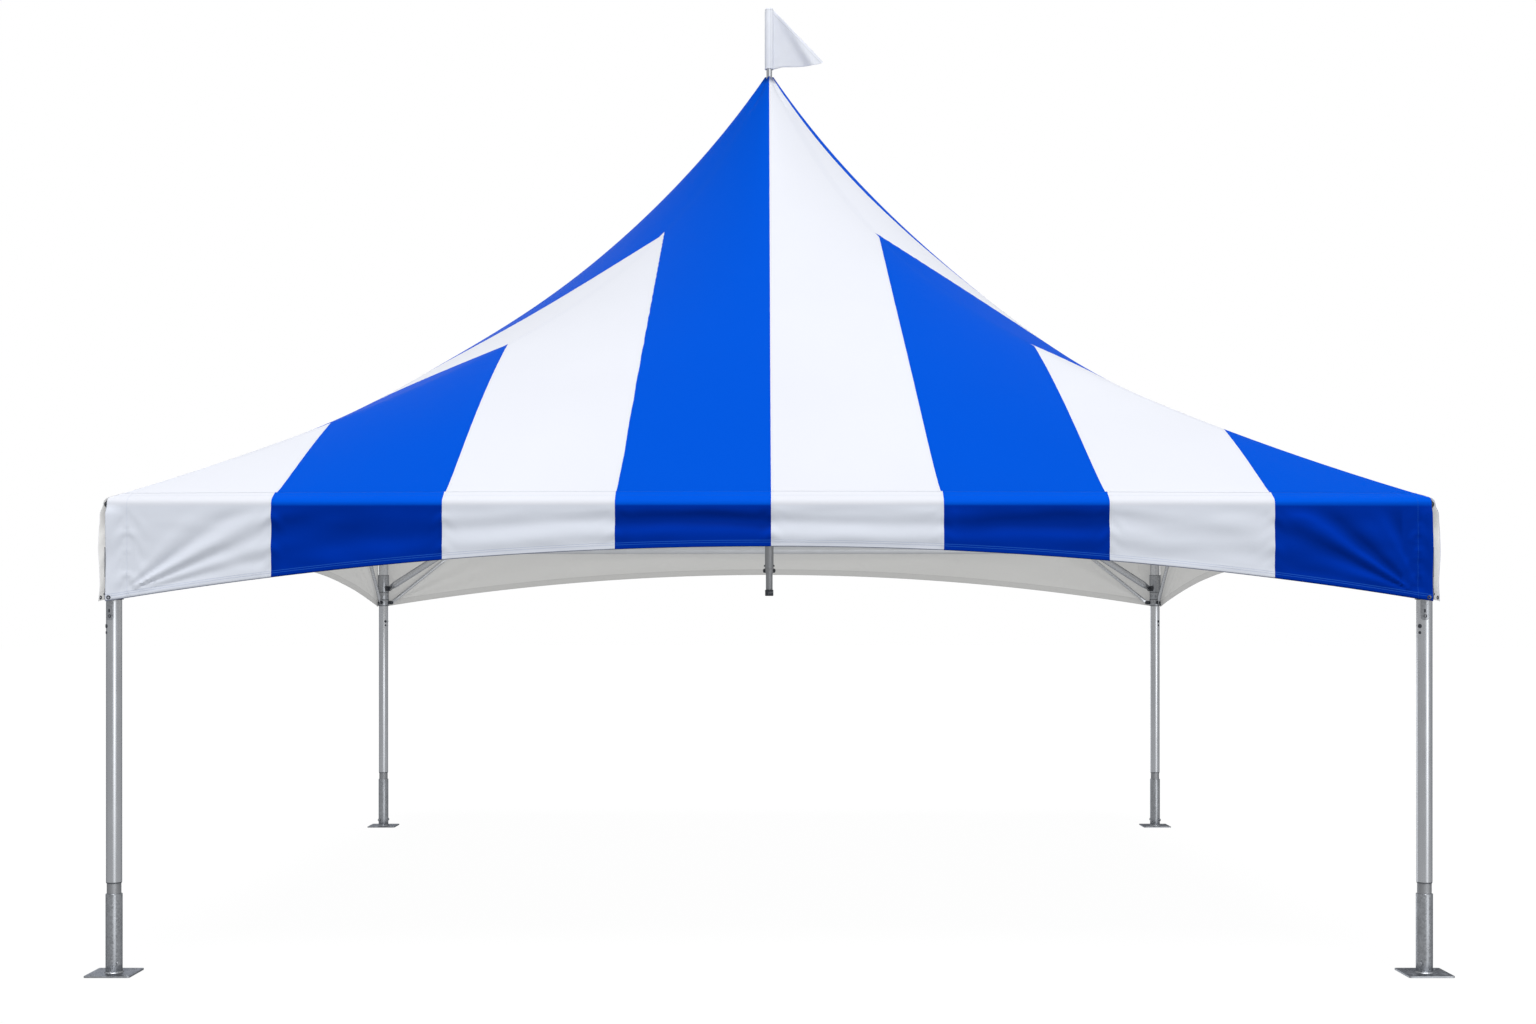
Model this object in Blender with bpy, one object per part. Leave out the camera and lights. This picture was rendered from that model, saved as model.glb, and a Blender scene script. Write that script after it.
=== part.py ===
# Festival tent: a square high-peak frame tent with four legs, a flying mast and a pennant.
# Metres, +Z up, origin on the ground at the middle of the floor. The front looks along -Y.

import math

import bmesh
import bpy
from mathutils import Matrix, Vector

# Layout
LEG_HALF_SPACING = 3.02       # leg axis to the tent's middle, along X and along Y
GAP = 0.0003                  # clearance between pieces that touch
ROUND = 16                    # sides of tubes and of what fits in or round them
BAR_ROUND = 12                # sides of the braces and rafters
ARC_STEPS = 6                 # steps of a half circle round a bolt

# Legs and feet
LEG_RADIUS = 0.0355
LEG_BORE = 0.0325
LEG_BOTTOM = 0.42
LEG_TOP = 2.06
PLATE_SIDE = 0.21
PLATE_THICK = 0.008
FOOT_SLEEVE_RADIUS = 0.0375
FOOT_SLEEVE_TOP = 0.37
FOOT_SLEEVE_CHAMFER = 0.002
FOOT_WELD = 0.007
FOOT_WELD_LIP = 0.001
SPIGOT_RADIUS = 0.0322        # inner tube that slides in the leg
SPIGOT_TOP = 0.62

# Sleeve round the leg that carries the braces and the rafter
BRACKET_RADIUS = 0.040
BRACKET_COLLAR = 0.042
BRACKET_BOTTOM = 1.725
BRACKET_TOP = 1.965
BRACKET_FOOT_HEIGHT = 0.05    # height of the lower collar
BRACKET_HEAD_HEIGHT = 0.135   # height of the upper collar
BRACKET_STEP = 0.002
KNEE_PIVOT_Z = 1.75
KNEE_PIVOT_REACH = 0.062
RAFTER_PIVOT_Z = 1.86
RAFTER_PIVOT_REACH = 0.075

# Forks and the flat ends that they hold
KNEE_TANG = 0.005
KNEE_CHEEK = 0.005
KNEE_EAR = 0.014
RAFTER_TANG = 0.008
RAFTER_CHEEK = 0.006
RAFTER_EAR = 0.020
EAR_INSET = 0.002             # how much smaller the flat end is than the fork's cheeks

# Eave beams, corner castings, braces and rafters
BEAM_RADIUS = 0.030
BEAM_BORE = 0.027
BEAM_Z = 2.162
FITTING_RADIUS = 0.035
FITTING_PLUG = 0.13           # length of the plug in the leg
FITTING_SHOULDER = 0.012      # dome's foot below the beam axis
FITTING_DOME = 0.034
FITTING_COLLAR = 0.046        # length of the collar that the beam butts against
FITTING_COLLAR_INSET = 0.0005
FITTING_SPIGOT = 0.16
KNEE_SPAN = 0.50              # leg axis to the lug under the beam
KNEE_LUG_DROP = 0.058
KNEE_LUG_HALF_WIDTH = 0.018
KNEE_RADIUS = 0.0125
KNEE_NECK = 0.035             # pivot to the end of the round bar
RAFTER_RADIUS = 0.024
RAFTER_NECK = 0.06
NECK_TAPER = 0.6

# Crown hub and mast
HUB_Z = 3.30
HUB_RADIUS = 0.040
HUB_HALF_HEIGHT = 0.06
HUB_PIVOT_REACH = 0.09
MAST_RADIUS = 0.021
MAST_BORE = 0.018
MAST_BOTTOM = 1.80
MAST_TOP = 4.90
END_CAP_BOTTOM = 1.772
END_CAP_TOP = 1.81
END_CAP_RADIUS = 0.026
END_CAP_CHAMFER = 0.003
MAST_COLLAR_Z = 1.928
MAST_COLLAR_RADIUS = 0.030
MAST_COLLAR_HALF_HEIGHT = 0.018
MAST_LUG_REACH = 0.039
MAST_LUG_ROOT = 0.026
MAST_LUG_HALF_HEIGHT = 0.014
MAST_LUG_WIDTH = 0.020
PEAK_CAP_TOP = 4.995
PEAK_CAP_CHAMFER = 0.003
PEAK_PLUG = 0.05              # length of the cap's plug in the mast
POLE_SOCKET_FLOOR = 0.045     # floor of the flag pole's socket above the mast's end

# Cloth
FABRIC_THICK = 0.004
CLOTH_WRAP = 0.0005           # clearance from the cloth to the beam that it goes over
ROOF_TOP_RADIUS = 0.026
MID_RISE = (2.50, 0.0, 0.35, 5.8)    # rise of a face's middle line above the eave
HIP_RISE = (1.39, 0.67, 0.79, 6.4)   # rise of a hip above the eave
FACE_BEND = 0.3               # how softly a face bends across its middle; 0 is a sharp valley
ROOF_ROWS = 14
ROOF_ROW_CROWDING = 1.7       # rows lie closer together towards the peak
ROOF_COLUMNS = 6              # columns of half a face
EAVE_ROWS = 4
VALANCE_CORNER_Z = 1.719
VALANCE_MIDDLE_Z = 1.968
VALANCE_JOIN = 0.5            # seam between a valance's lengths, as a share of its half width
VALANCE_COLUMNS = 8

# Flag pole and pennant
POLE_RADIUS = 0.0175
POLE_TOP = 5.412
PENNANT_BORE = 0.0205
PENNANT_SLEEVE = 0.025
PENNANT_BOTTOM = 5.046
PENNANT_TOP = 5.430
PENNANT_SHOULDER = 0.010      # rounded end of the sleeve
PENNANT_THICK = 0.003
PENNANT_LENGTH = 0.335
PENNANT_FOOT = 0.004          # lower edge at the sleeve, above the sleeve's end
PENNANT_HEAD = 0.014          # upper edge at the sleeve, below the sleeve's top
PENNANT_EDGE = ((0.6, 0.016), (0.965, 0.038), (1.0, 0.054), (0.975, 0.068))  # share, height

# Finishes
ALUMINIUM = ((0.60, 0.61, 0.63), 0.35, 1.0)
ZINC = ((0.48, 0.50, 0.52), 0.45, 0.9)
DARK_STEEL = ((0.12, 0.13, 0.15), 0.5, 0.6)
ROOF_CLOTH = ((0.01, 0.10, 0.60), 0.55, 0.0)
VALANCE_CLOTH = ((0.86, 0.88, 0.93), 0.55, 0.0)
PENNANT_CLOTH = ((0.86, 0.88, 0.93), 0.7, 0.0)

# Derived places
LINER = LEG_HALF_SPACING + BRACKET_COLLAR + GAP      # inner face of the hanging cloth
EAVE = LINER + FABRIC_THICK                          # outer face of the hanging cloth
BEAM_PLANE = LINER - CLOTH_WRAP - BEAM_RADIUS        # beam axis to the tent's middle
BEAM_OFFSET = BEAM_PLANE - LEG_HALF_SPACING          # beam axis outside the leg axis
TURN_RADIUS = EAVE - BEAM_PLANE                      # outer face of the cloth round the beam
KNEE_LUG_Z = BEAM_Z - KNEE_LUG_DROP
POLE_SOCKET_Z = MAST_TOP + POLE_SOCKET_FLOOR

CORNERS = (
    ("front_left", -1, -1, 0),
    ("front_right", 1, -1, 90),
    ("back_right", 1, 1, 180),
    ("back_left", -1, 1, 270),
)
SIDES = (("front", 0), ("right", 90), ("back", 180), ("left", 270))


def finish(name, look):
    colour, roughness, metallic = look
    made = bpy.data.materials.new(name)
    made.use_nodes = True
    shader = made.node_tree.nodes["Principled BSDF"]
    shader.inputs["Base Color"].default_value = (*colour, 1.0)
    shader.inputs["Roughness"].default_value = roughness
    shader.inputs["Metallic"].default_value = metallic
    made.diffuse_color = (*colour, 1.0)
    return made


def make_object(name, mesh_data, look):
    made = bpy.data.objects.new(name, mesh_data)
    made.data.materials.clear()
    made.data.materials.append(finish(name + "_finish", look))
    bpy.context.scene.collection.objects.link(made)
    return made


def mesh_from(bm, name):
    bmesh.ops.remove_doubles(bm, verts=bm.verts[:], dist=0.000001)
    bmesh.ops.recalc_face_normals(bm, faces=bm.faces[:])
    mesh_data = bpy.data.meshes.new(name)
    bm.to_mesh(mesh_data)
    bm.free()
    return mesh_data


def smooth(mesh_data, sharp_over):
    mesh_data.shade_smooth()
    mesh_data.set_sharp_from_angle(angle=math.radians(sharp_over))
    return mesh_data


def turned(name, profile, sides=ROUND, closed=False):
    """A shape of revolution about Z from (radius, height) points."""
    bm = bmesh.new()
    verts = [bm.verts.new((radius, 0.0, height)) for radius, height in profile]
    edges = [bm.edges.new(pair) for pair in zip(verts, verts[1:])]
    if closed:
        edges.append(bm.edges.new((verts[-1], verts[0])))
    bmesh.ops.spin(bm, geom=verts + edges, cent=(0, 0, 0), axis=(0, 0, 1),
                   angle=math.tau, steps=sides, use_merge=True)
    return smooth(mesh_from(bm, name), 35)


def tube_profile(outer, inner, low, high):
    return [(outer, low), (outer, high), (inner, high), (inner, low)]


def plate(name, outline, thickness):
    """A flat plate: (x, z) outline points, centred on the plane y = 0."""
    bm = bmesh.new()
    verts = [bm.verts.new((x, -thickness / 2, z)) for x, z in outline]
    face = bm.faces.new(verts)
    grown = bmesh.ops.extrude_face_region(bm, geom=[face])
    moved = [item for item in grown["geom"] if isinstance(item, bmesh.types.BMVert)]
    bmesh.ops.translate(bm, verts=moved, vec=(0, thickness, 0))
    return mesh_from(bm, name)


def half_circle(centre_x, centre_z, radius, first_angle):
    """Points of half a turn, anticlockwise from the first angle."""
    points = []
    for step in range(ARC_STEPS + 1):
        angle = first_angle + math.pi * step / ARC_STEPS
        points.append((centre_x + radius * math.cos(angle), centre_z + radius * math.sin(angle)))
    return points


def ear_outline(start, reach, half_height, centre_z):
    """A lug that runs out along X and ends in a half circle round its bolt."""
    root = [(start, centre_z + half_height), (start, centre_z - half_height)]
    return root + half_circle(reach, centre_z, half_height, -math.pi / 2)


def scratch_object(mesh_data, matrix=None):
    made = bpy.data.objects.new("scratch", mesh_data)
    if matrix is not None:
        made.data.transform(matrix)
    bpy.context.scene.collection.objects.link(made)
    return made


def union(base_mesh, *added):
    """Joins solids that meet into one body."""
    base = scratch_object(base_mesh)
    others = [scratch_object(mesh_data, matrix) for mesh_data, matrix in added]
    for other in others:
        step = base.modifiers.new("join", "BOOLEAN")
        step.operation = "UNION"
        step.solver = "EXACT"
        step.object = other
    bpy.context.view_layer.update()
    depsgraph = bpy.context.evaluated_depsgraph_get()
    result = bpy.data.meshes.new_from_object(base.evaluated_get(depsgraph))
    for item in [base] + others:
        bpy.data.objects.remove(item, do_unlink=True)
    return result


def turn_z(degrees):
    return Matrix.Rotation(math.radians(degrees), 4, "Z")


def fork(outline, tang, cheek, facing, shift=0.0):
    """Two cheeks with room for a tang between them, turned to face an angle about Z."""
    offset = tang / 2 + GAP + cheek / 2
    for side in (-1, 1):
        yield (plate("cheek", outline, cheek),
               turn_z(facing) @ Matrix.Translation((0, side * offset + shift, 0)))


def foot_mesh():
    """Base plate, the sleeve welded to it and the tube that slides in the leg."""
    half = PLATE_SIDE / 2
    sheet = plate("plate", [(-half, 0), (half, 0), (half, PLATE_THICK), (-half, PLATE_THICK)], PLATE_SIDE)
    tube = turned("sleeve", [
        (0, PLATE_THICK / 2),
        (FOOT_SLEEVE_RADIUS + FOOT_WELD, PLATE_THICK / 2),
        (FOOT_SLEEVE_RADIUS + FOOT_WELD, PLATE_THICK + FOOT_WELD_LIP),
        (FOOT_SLEEVE_RADIUS, PLATE_THICK + FOOT_WELD),
        (FOOT_SLEEVE_RADIUS, FOOT_SLEEVE_TOP),
        (SPIGOT_RADIUS, FOOT_SLEEVE_TOP + FOOT_SLEEVE_CHAMFER),
        (SPIGOT_RADIUS, SPIGOT_TOP),
        (0, SPIGOT_TOP),
    ])
    return union(sheet, (tube, None))


def bracket_mesh():
    """Sleeve on the leg: knee brace forks low down, the rafter's fork on the diagonal above."""
    bore = LEG_RADIUS + GAP
    foot_top = BRACKET_BOTTOM + BRACKET_FOOT_HEIGHT
    head_bottom = BRACKET_TOP - BRACKET_HEAD_HEIGHT
    sleeve = turned("sleeve", [
        (bore, BRACKET_BOTTOM),
        (BRACKET_COLLAR, BRACKET_BOTTOM),
        (BRACKET_COLLAR, foot_top),
        (BRACKET_RADIUS, foot_top + BRACKET_STEP),
        (BRACKET_RADIUS, head_bottom - BRACKET_STEP),
        (BRACKET_COLLAR, head_bottom),
        (BRACKET_COLLAR, BRACKET_TOP),
        (bore, BRACKET_TOP),
    ], closed=True)
    root = (bore + BRACKET_RADIUS) / 2
    knee = ear_outline(root, KNEE_PIVOT_REACH, KNEE_EAR, KNEE_PIVOT_Z)
    rafter = ear_outline(root, RAFTER_PIVOT_REACH, RAFTER_EAR, RAFTER_PIVOT_Z)
    parts = list(fork(knee, KNEE_TANG, KNEE_CHEEK, 0, shift=-BEAM_OFFSET))
    parts += list(fork(knee, KNEE_TANG, KNEE_CHEEK, 90, shift=BEAM_OFFSET))
    parts += list(fork(rafter, RAFTER_TANG, RAFTER_CHEEK, 45))
    return union(sleeve, *parts)


def dome_points():
    """Top of the corner casting, from its shoulder to the middle."""
    points = []
    for step in range(ARC_STEPS // 2 + 1):
        angle = math.pi * step / ARC_STEPS
        points.append((FITTING_RADIUS * math.cos(angle),
                       BEAM_Z - FITTING_SHOULDER + FITTING_DOME * math.sin(angle)))
    points[-1] = (0, points[-1][1])
    return points


def fitting_mesh():
    """Corner casting: plug in the leg, domed body, a collar and spigot for each beam."""
    body = turned("body", [
        (0, LEG_TOP - FITTING_PLUG),
        (LEG_BORE - GAP, LEG_TOP - FITTING_PLUG),
        (LEG_BORE - GAP, LEG_TOP + GAP),
        (FITTING_RADIUS, LEG_TOP + GAP),
    ] + dome_points())
    arm = [
        (0, 0),
        (BEAM_RADIUS - FITTING_COLLAR_INSET, 0),
        (BEAM_RADIUS - FITTING_COLLAR_INSET, FITTING_COLLAR),
        (BEAM_BORE - GAP, FITTING_COLLAR),
        (BEAM_BORE - GAP, FITTING_SPIGOT),
        (0, FITTING_SPIGOT),
    ]
    along_x = Matrix.Translation((0, -BEAM_OFFSET, BEAM_Z)) @ Matrix.Rotation(math.pi / 2, 4, "Y")
    along_y = Matrix.Translation((-BEAM_OFFSET, 0, BEAM_Z)) @ Matrix.Rotation(-math.pi / 2, 4, "X")
    arms = [(turned("arm", arm), place) for place in (along_x, along_y)]
    return union(body, *arms)


def beam_mesh():
    """Eave tube with a lug near each end for the knee braces; along X, axis on y = 0."""
    half = LEG_HALF_SPACING - FITTING_COLLAR - GAP
    lie_down = Matrix.Rotation(math.pi / 2, 4, "Y")
    tube = turned("tube", tube_profile(BEAM_RADIUS, BEAM_BORE, -half, half), closed=True)
    tube.transform(Matrix.Translation((0, 0, BEAM_Z)) @ lie_down)
    root_z = BEAM_Z - (BEAM_RADIUS + BEAM_BORE) / 2
    cheeks = []
    for end in (-1, 1):
        place = end * (LEG_HALF_SPACING - KNEE_SPAN)
        outline = [(place + KNEE_LUG_HALF_WIDTH, root_z), (place - KNEE_LUG_HALF_WIDTH, root_z)]
        outline += half_circle(place, KNEE_LUG_Z, KNEE_EAR, math.pi)
        cheeks += list(fork(outline, KNEE_TANG, KNEE_CHEEK, 0))
    return union(tube, *cheeks)


def link_mesh(start, end, radius, tang, ear, neck):
    """A round bar between two pivots in the plane y = 0, its ends pressed flat."""
    start = Vector(start)
    end = Vector(end)
    length = (end - start).length
    tilt = math.atan2(end.z - start.z, end.x - start.x)
    place = Matrix.Translation(start) @ Matrix.Rotation(-tilt, 4, "Y")
    thin = radius * NECK_TAPER
    bar = turned("bar", [(0, neck), (thin, neck), (radius, neck + thin), (radius, length - neck - thin),
                         (thin, length - neck), (0, length - neck)], BAR_ROUND)
    bar.transform(place @ Matrix.Rotation(math.pi / 2, 4, "Y"))
    outline = half_circle(0, 0, ear, math.pi / 2) + half_circle(length, 0, ear, -math.pi / 2)
    flat = plate("flat", outline, tang)
    flat.transform(place)
    return union(bar, (flat, None))


def knee_mesh():
    low = (KNEE_PIVOT_REACH, 0, KNEE_PIVOT_Z)
    high = (KNEE_SPAN, 0, KNEE_LUG_Z)
    return link_mesh(low, high, KNEE_RADIUS, KNEE_TANG, KNEE_EAR - EAR_INSET, KNEE_NECK)


def rafter_mesh():
    low = (RAFTER_PIVOT_REACH, 0, RAFTER_PIVOT_Z)
    high = (LEG_HALF_SPACING * math.sqrt(2) - HUB_PIVOT_REACH, 0, HUB_Z)
    return link_mesh(low, high, RAFTER_RADIUS, RAFTER_TANG, RAFTER_EAR - EAR_INSET, RAFTER_NECK)


def build_corner(name, sign_x, sign_y, angle):
    """Foot, leg, bracket, casting, rafter and braces; in its own frame +X and +Y lead inwards."""
    spot = (sign_x * LEG_HALF_SPACING, sign_y * LEG_HALF_SPACING, 0)
    spin = math.radians(angle)
    leg_tube = turned("leg", tube_profile(LEG_RADIUS, LEG_BORE, LEG_BOTTOM, LEG_TOP), closed=True)
    pieces = [
        make_object("foot_" + name, foot_mesh(), ZINC),
        make_object("leg_" + name, leg_tube, ALUMINIUM),
        make_object("leg_bracket_" + name, bracket_mesh(), ZINC),
        make_object("corner_fitting_" + name, fitting_mesh(), ZINC),
    ]
    for piece in pieces:
        piece.location = spot
        piece.rotation_euler = (0, 0, spin)
    rafter = make_object("hip_rafter_" + name, rafter_mesh(), ALUMINIUM)
    rafter.location = spot
    rafter.rotation_euler = (0, 0, spin + math.pi / 4)
    build_knees(name, spot, spin)


def build_knees(name, spot, spin):
    """Two braces a leg, each in the plane of the beam that it holds."""
    first_on, second_on = name.split("_")
    if name in ("front_right", "back_left"):
        first_on, second_on = second_on, first_on
    for side, turn, shift in ((first_on, 0, -BEAM_OFFSET), (second_on, math.pi / 2, BEAM_OFFSET)):
        brace = make_object(f"knee_brace_{name}_on_{side}", knee_mesh(), ALUMINIUM)
        brace.rotation_euler = (0, 0, spin + turn)
        brace.location = Vector(spot) + Matrix.Rotation(spin + turn, 3, "Z") @ Vector((0, shift, 0))


def build_beam(name, angle):
    beam = make_object("eave_beam_" + name, beam_mesh(), ALUMINIUM)
    beam.rotation_euler = (0, 0, math.radians(angle))
    beam.location = Matrix.Rotation(math.radians(angle), 3, "Z") @ Vector((0, -BEAM_PLANE, 0))


def build_hub():
    """Sleeve round the mast with a fork for each rafter."""
    bore = MAST_RADIUS + GAP
    sleeve = turned("sleeve", tube_profile(HUB_RADIUS, bore, HUB_Z - HUB_HALF_HEIGHT,
                                           HUB_Z + HUB_HALF_HEIGHT), closed=True)
    outline = ear_outline((bore + HUB_RADIUS) / 2, HUB_PIVOT_REACH, RAFTER_EAR, HUB_Z)
    cheeks = []
    for facing in (45, 135, 225, 315):
        cheeks += list(fork(outline, RAFTER_TANG, RAFTER_CHEEK, facing))
    make_object("crown_hub", union(sleeve, *cheeks), ZINC)


def build_mast():
    tube = turned("mast", tube_profile(MAST_RADIUS, MAST_BORE, MAST_BOTTOM, MAST_TOP), closed=True)
    make_object("mast", tube, ALUMINIUM)


def build_end_cap():
    cup = turned("cap", [
        (0, END_CAP_BOTTOM),
        (END_CAP_RADIUS - END_CAP_CHAMFER, END_CAP_BOTTOM),
        (END_CAP_RADIUS, END_CAP_BOTTOM + END_CAP_CHAMFER),
        (END_CAP_RADIUS, END_CAP_TOP),
        (MAST_RADIUS + GAP, END_CAP_TOP),
        (MAST_RADIUS + GAP, MAST_BOTTOM - GAP),
        (0, MAST_BOTTOM - GAP),
    ])
    make_object("mast_end_cap", cup, DARK_STEEL)


def build_mast_collar():
    """Clamp ring near the mast's foot, with a lug on each side."""
    ring = turned("ring", tube_profile(MAST_COLLAR_RADIUS, MAST_RADIUS + GAP,
                                       MAST_COLLAR_Z - MAST_COLLAR_HALF_HEIGHT,
                                       MAST_COLLAR_Z + MAST_COLLAR_HALF_HEIGHT), closed=True)
    low = MAST_COLLAR_Z - MAST_LUG_HALF_HEIGHT
    high = MAST_COLLAR_Z + MAST_LUG_HALF_HEIGHT
    lug = [(-MAST_LUG_REACH, low), (-MAST_LUG_ROOT, low), (-MAST_LUG_ROOT, high), (-MAST_LUG_REACH, high)]
    lugs = [(plate("lug", lug, MAST_LUG_WIDTH), turn_z(turn)) for turn in (0, 180)]
    make_object("mast_collar", union(ring, *lugs), DARK_STEEL)


def build_peak():
    """Cap on the mast that the cloth's ring fits round, with the flag pole in its socket."""
    rim = ROOF_TOP_RADIUS - GAP
    cap = turned("cap", [
        (0, MAST_TOP - PEAK_PLUG),
        (MAST_BORE - GAP, MAST_TOP - PEAK_PLUG),
        (MAST_BORE - GAP, MAST_TOP + GAP),
        (rim, MAST_TOP + GAP),
        (rim, PEAK_CAP_TOP - PEAK_CAP_CHAMFER),
        (rim - PEAK_CAP_CHAMFER, PEAK_CAP_TOP),
        (POLE_RADIUS + GAP, PEAK_CAP_TOP),
        (POLE_RADIUS + GAP, POLE_SOCKET_Z),
        (0, POLE_SOCKET_Z),
    ])
    make_object("peak_cap", cap, ZINC)
    foot = POLE_SOCKET_Z + GAP
    pole = turned("pole", [(0, foot), (POLE_RADIUS, foot), (POLE_RADIUS, POLE_TOP), (0, POLE_TOP)])
    make_object("flag_pole", pole, ALUMINIUM)


def build_pennant():
    """Sleeve over the pole's end, with the flag on it; it turns about the pole."""
    sleeve = turned("sleeve", [
        (0, POLE_TOP + GAP),
        (PENNANT_BORE, POLE_TOP + GAP),
        (PENNANT_BORE, PENNANT_BOTTOM),
        (PENNANT_SLEEVE, PENNANT_BOTTOM),
        (PENNANT_SLEEVE, PENNANT_TOP - PENNANT_SHOULDER),
        (PENNANT_SLEEVE * NECK_TAPER, PENNANT_TOP - PENNANT_SHOULDER / 5),
        (0, PENNANT_TOP),
    ])
    root = (PENNANT_BORE + PENNANT_SLEEVE) / 2
    outline = [(root, PENNANT_BOTTOM + PENNANT_FOOT)]
    outline += [(share * PENNANT_LENGTH, PENNANT_BOTTOM + height) for share, height in PENNANT_EDGE]
    outline.append((root, PENNANT_TOP - PENNANT_HEAD))
    flag = plate("flag", outline, PENNANT_THICK)
    make_object("pennant", union(sleeve, (flag, None)), PENNANT_CLOTH)


def rise(share, terms):
    """Height gained up the slope: a straight part, a square part and a steep part by the peak."""
    first, second, last, power = terms
    return first * share + second * share ** 2 + last * share ** power


def hip_share(across):
    """How far the cloth has gone from a face's middle shape (0) to the hip's shape (1)."""
    flat = math.sqrt(across * across + FACE_BEND * FACE_BEND) - FACE_BEND
    return flat / (math.sqrt(1 + FACE_BEND * FACE_BEND) - FACE_BEND)


def turn_start(across):
    """Angle on the beam, from straight up, at which the sloping cloth meets it."""
    blend = hip_share(across)
    return math.atan((MID_RISE[0] * (1 - blend) + HIP_RISE[0] * blend) / BEAM_PLANE)


def roof_edge(across):
    """Reach and height of the line where the slope ends and the turn over the beam starts."""
    angle = turn_start(across)
    return BEAM_PLANE + TURN_RADIUS * math.sin(angle), BEAM_Z + TURN_RADIUS * math.cos(angle)


def roof_height(reach, across):
    """Height of the cloth where a face is `reach` out and `across` is 0 mid-face, 1 at a hip."""
    edge, edge_height = roof_edge(across)
    share = (edge - reach) / edge
    blend = hip_share(across)
    return edge_height + rise(share, MID_RISE) * (1 - blend) + rise(share, HIP_RISE) * blend


def cloth_drop(reach, across):
    """How far below its top side the cloth's lower side is, measured straight down."""
    step = 0.0005
    along = (roof_height(reach + step, across) - roof_height(reach - step, across)) / (2 * step)
    sideways = (roof_height(reach, across + step) - roof_height(reach, across - step)) / (2 * step * reach)
    return FABRIC_THICK * math.sqrt(1 + (along - across * sideways) ** 2 + sideways ** 2)


def roof_rows():
    """Rows from the ring at the peak to the eave: a share of the slope, or of the turn."""
    rows = [("slope", (step / ROOF_ROWS) ** ROOF_ROW_CROWDING) for step in range(ROOF_ROWS)]
    rows += [("turn", step / EAVE_ROWS) for step in range(EAVE_ROWS + 1)]
    return rows


def roof_half(turn):
    """Points of half a front face: turn is -1 for the half before the middle seam, 1 after it."""
    def point(row, column, layer):
        part, share = row
        side = 1 - column if turn < 0 else column
        if part == "slope":
            reach = ROOF_TOP_RADIUS + (roof_edge(side)[0] - ROOF_TOP_RADIUS) * share
            height = roof_height(reach, side) - layer * cloth_drop(reach, side)
        else:
            start = turn_start(side)
            angle = start + (math.pi / 2 - start) * share
            radius = TURN_RADIUS - layer * FABRIC_THICK
            reach = BEAM_PLANE + radius * math.sin(angle)
            height = BEAM_Z + radius * math.cos(angle)
        seam = GAP / 2
        return Vector((turn * (seam + side * (reach - GAP - seam)), -reach, height))
    return point


def shell(name, rows, columns, point):
    """A closed sheet with two sides, from a grid of points on each."""
    bm = bmesh.new()
    grids = []
    for layer in (0, 1):
        grids.append([[bm.verts.new(point(row, column / columns, layer))
                       for column in range(columns + 1)] for row in rows])
    for grid in grids:
        for upper, lower in zip(grid, grid[1:]):
            for column in range(columns):
                bm.faces.new((upper[column], upper[column + 1], lower[column + 1], lower[column]))
    open_edges = [edge for edge in bm.edges if edge.is_boundary]
    bmesh.ops.bridge_loops(bm, edges=open_edges)
    bmesh.ops.triangulate(bm, faces=bm.faces[:])
    return mesh_from(bm, name)


def neighbours(index):
    """Names of the sides before and after a side, going round the tent."""
    return SIDES[index - 1][0], SIDES[(index + 1) % len(SIDES)][0]


def build_roof_face(index):
    """Two halves a side, parted at the middle seam; layer 0 is the top side and 1 the lower."""
    name, angle = SIDES[index]
    for turn, beside in zip((-1, 1), neighbours(index)):
        mesh_data = smooth(shell("roof", roof_rows(), ROOF_COLUMNS, roof_half(turn)), 40)
        piece = make_object(f"roof_{name}_near_{beside}", mesh_data, ROOF_CLOTH)
        piece.rotation_euler = (0, 0, math.radians(angle))


def valance_length(index):
    """Points of one of a valance's three lengths, which are mitred at the corners."""
    def point(row, column, layer):
        reach = EAVE - layer * FABRIC_THICK
        corner = reach - GAP
        join = VALANCE_JOIN * EAVE
        ends = ((-corner, -join - GAP / 2), (-join + GAP / 2, join - GAP / 2), (join + GAP / 2, corner))
        start, end = ends[index]
        x = start + (end - start) * column
        bottom = VALANCE_MIDDLE_Z - (VALANCE_MIDDLE_Z - VALANCE_CORNER_Z) * (x / EAVE) ** 2
        top = BEAM_Z - GAP
        return Vector((x, -reach, top + (bottom - top) * row))
    return point


def build_valance(index):
    """Three sewn lengths a side, parted at stripe seams; the outer ones end at the corners."""
    name, angle = SIDES[index]
    before, after = neighbours(index)
    for length, place in enumerate(("near_" + before, "middle", "near_" + after)):
        mesh_data = shell("valance", (0.0, 1.0), VALANCE_COLUMNS, valance_length(length))
        piece = make_object(f"valance_{name}_{place}", mesh_data, VALANCE_CLOTH)
        piece.rotation_euler = (0, 0, math.radians(angle))


for old in list(bpy.data.objects):
    bpy.data.objects.remove(old, do_unlink=True)
for corner in CORNERS:
    build_corner(*corner)
for index, side in enumerate(SIDES):
    build_beam(*side)
    build_roof_face(index)
    build_valance(index)
build_hub()
build_mast()
build_end_cap()
build_mast_collar()
build_peak()
build_pennant()
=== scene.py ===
# Festival tent, dressed: striped coated cloth over a frame of drawn aluminium tube.
import math

import bmesh
import bpy
from mathutils import Matrix, Vector, noise


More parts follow.
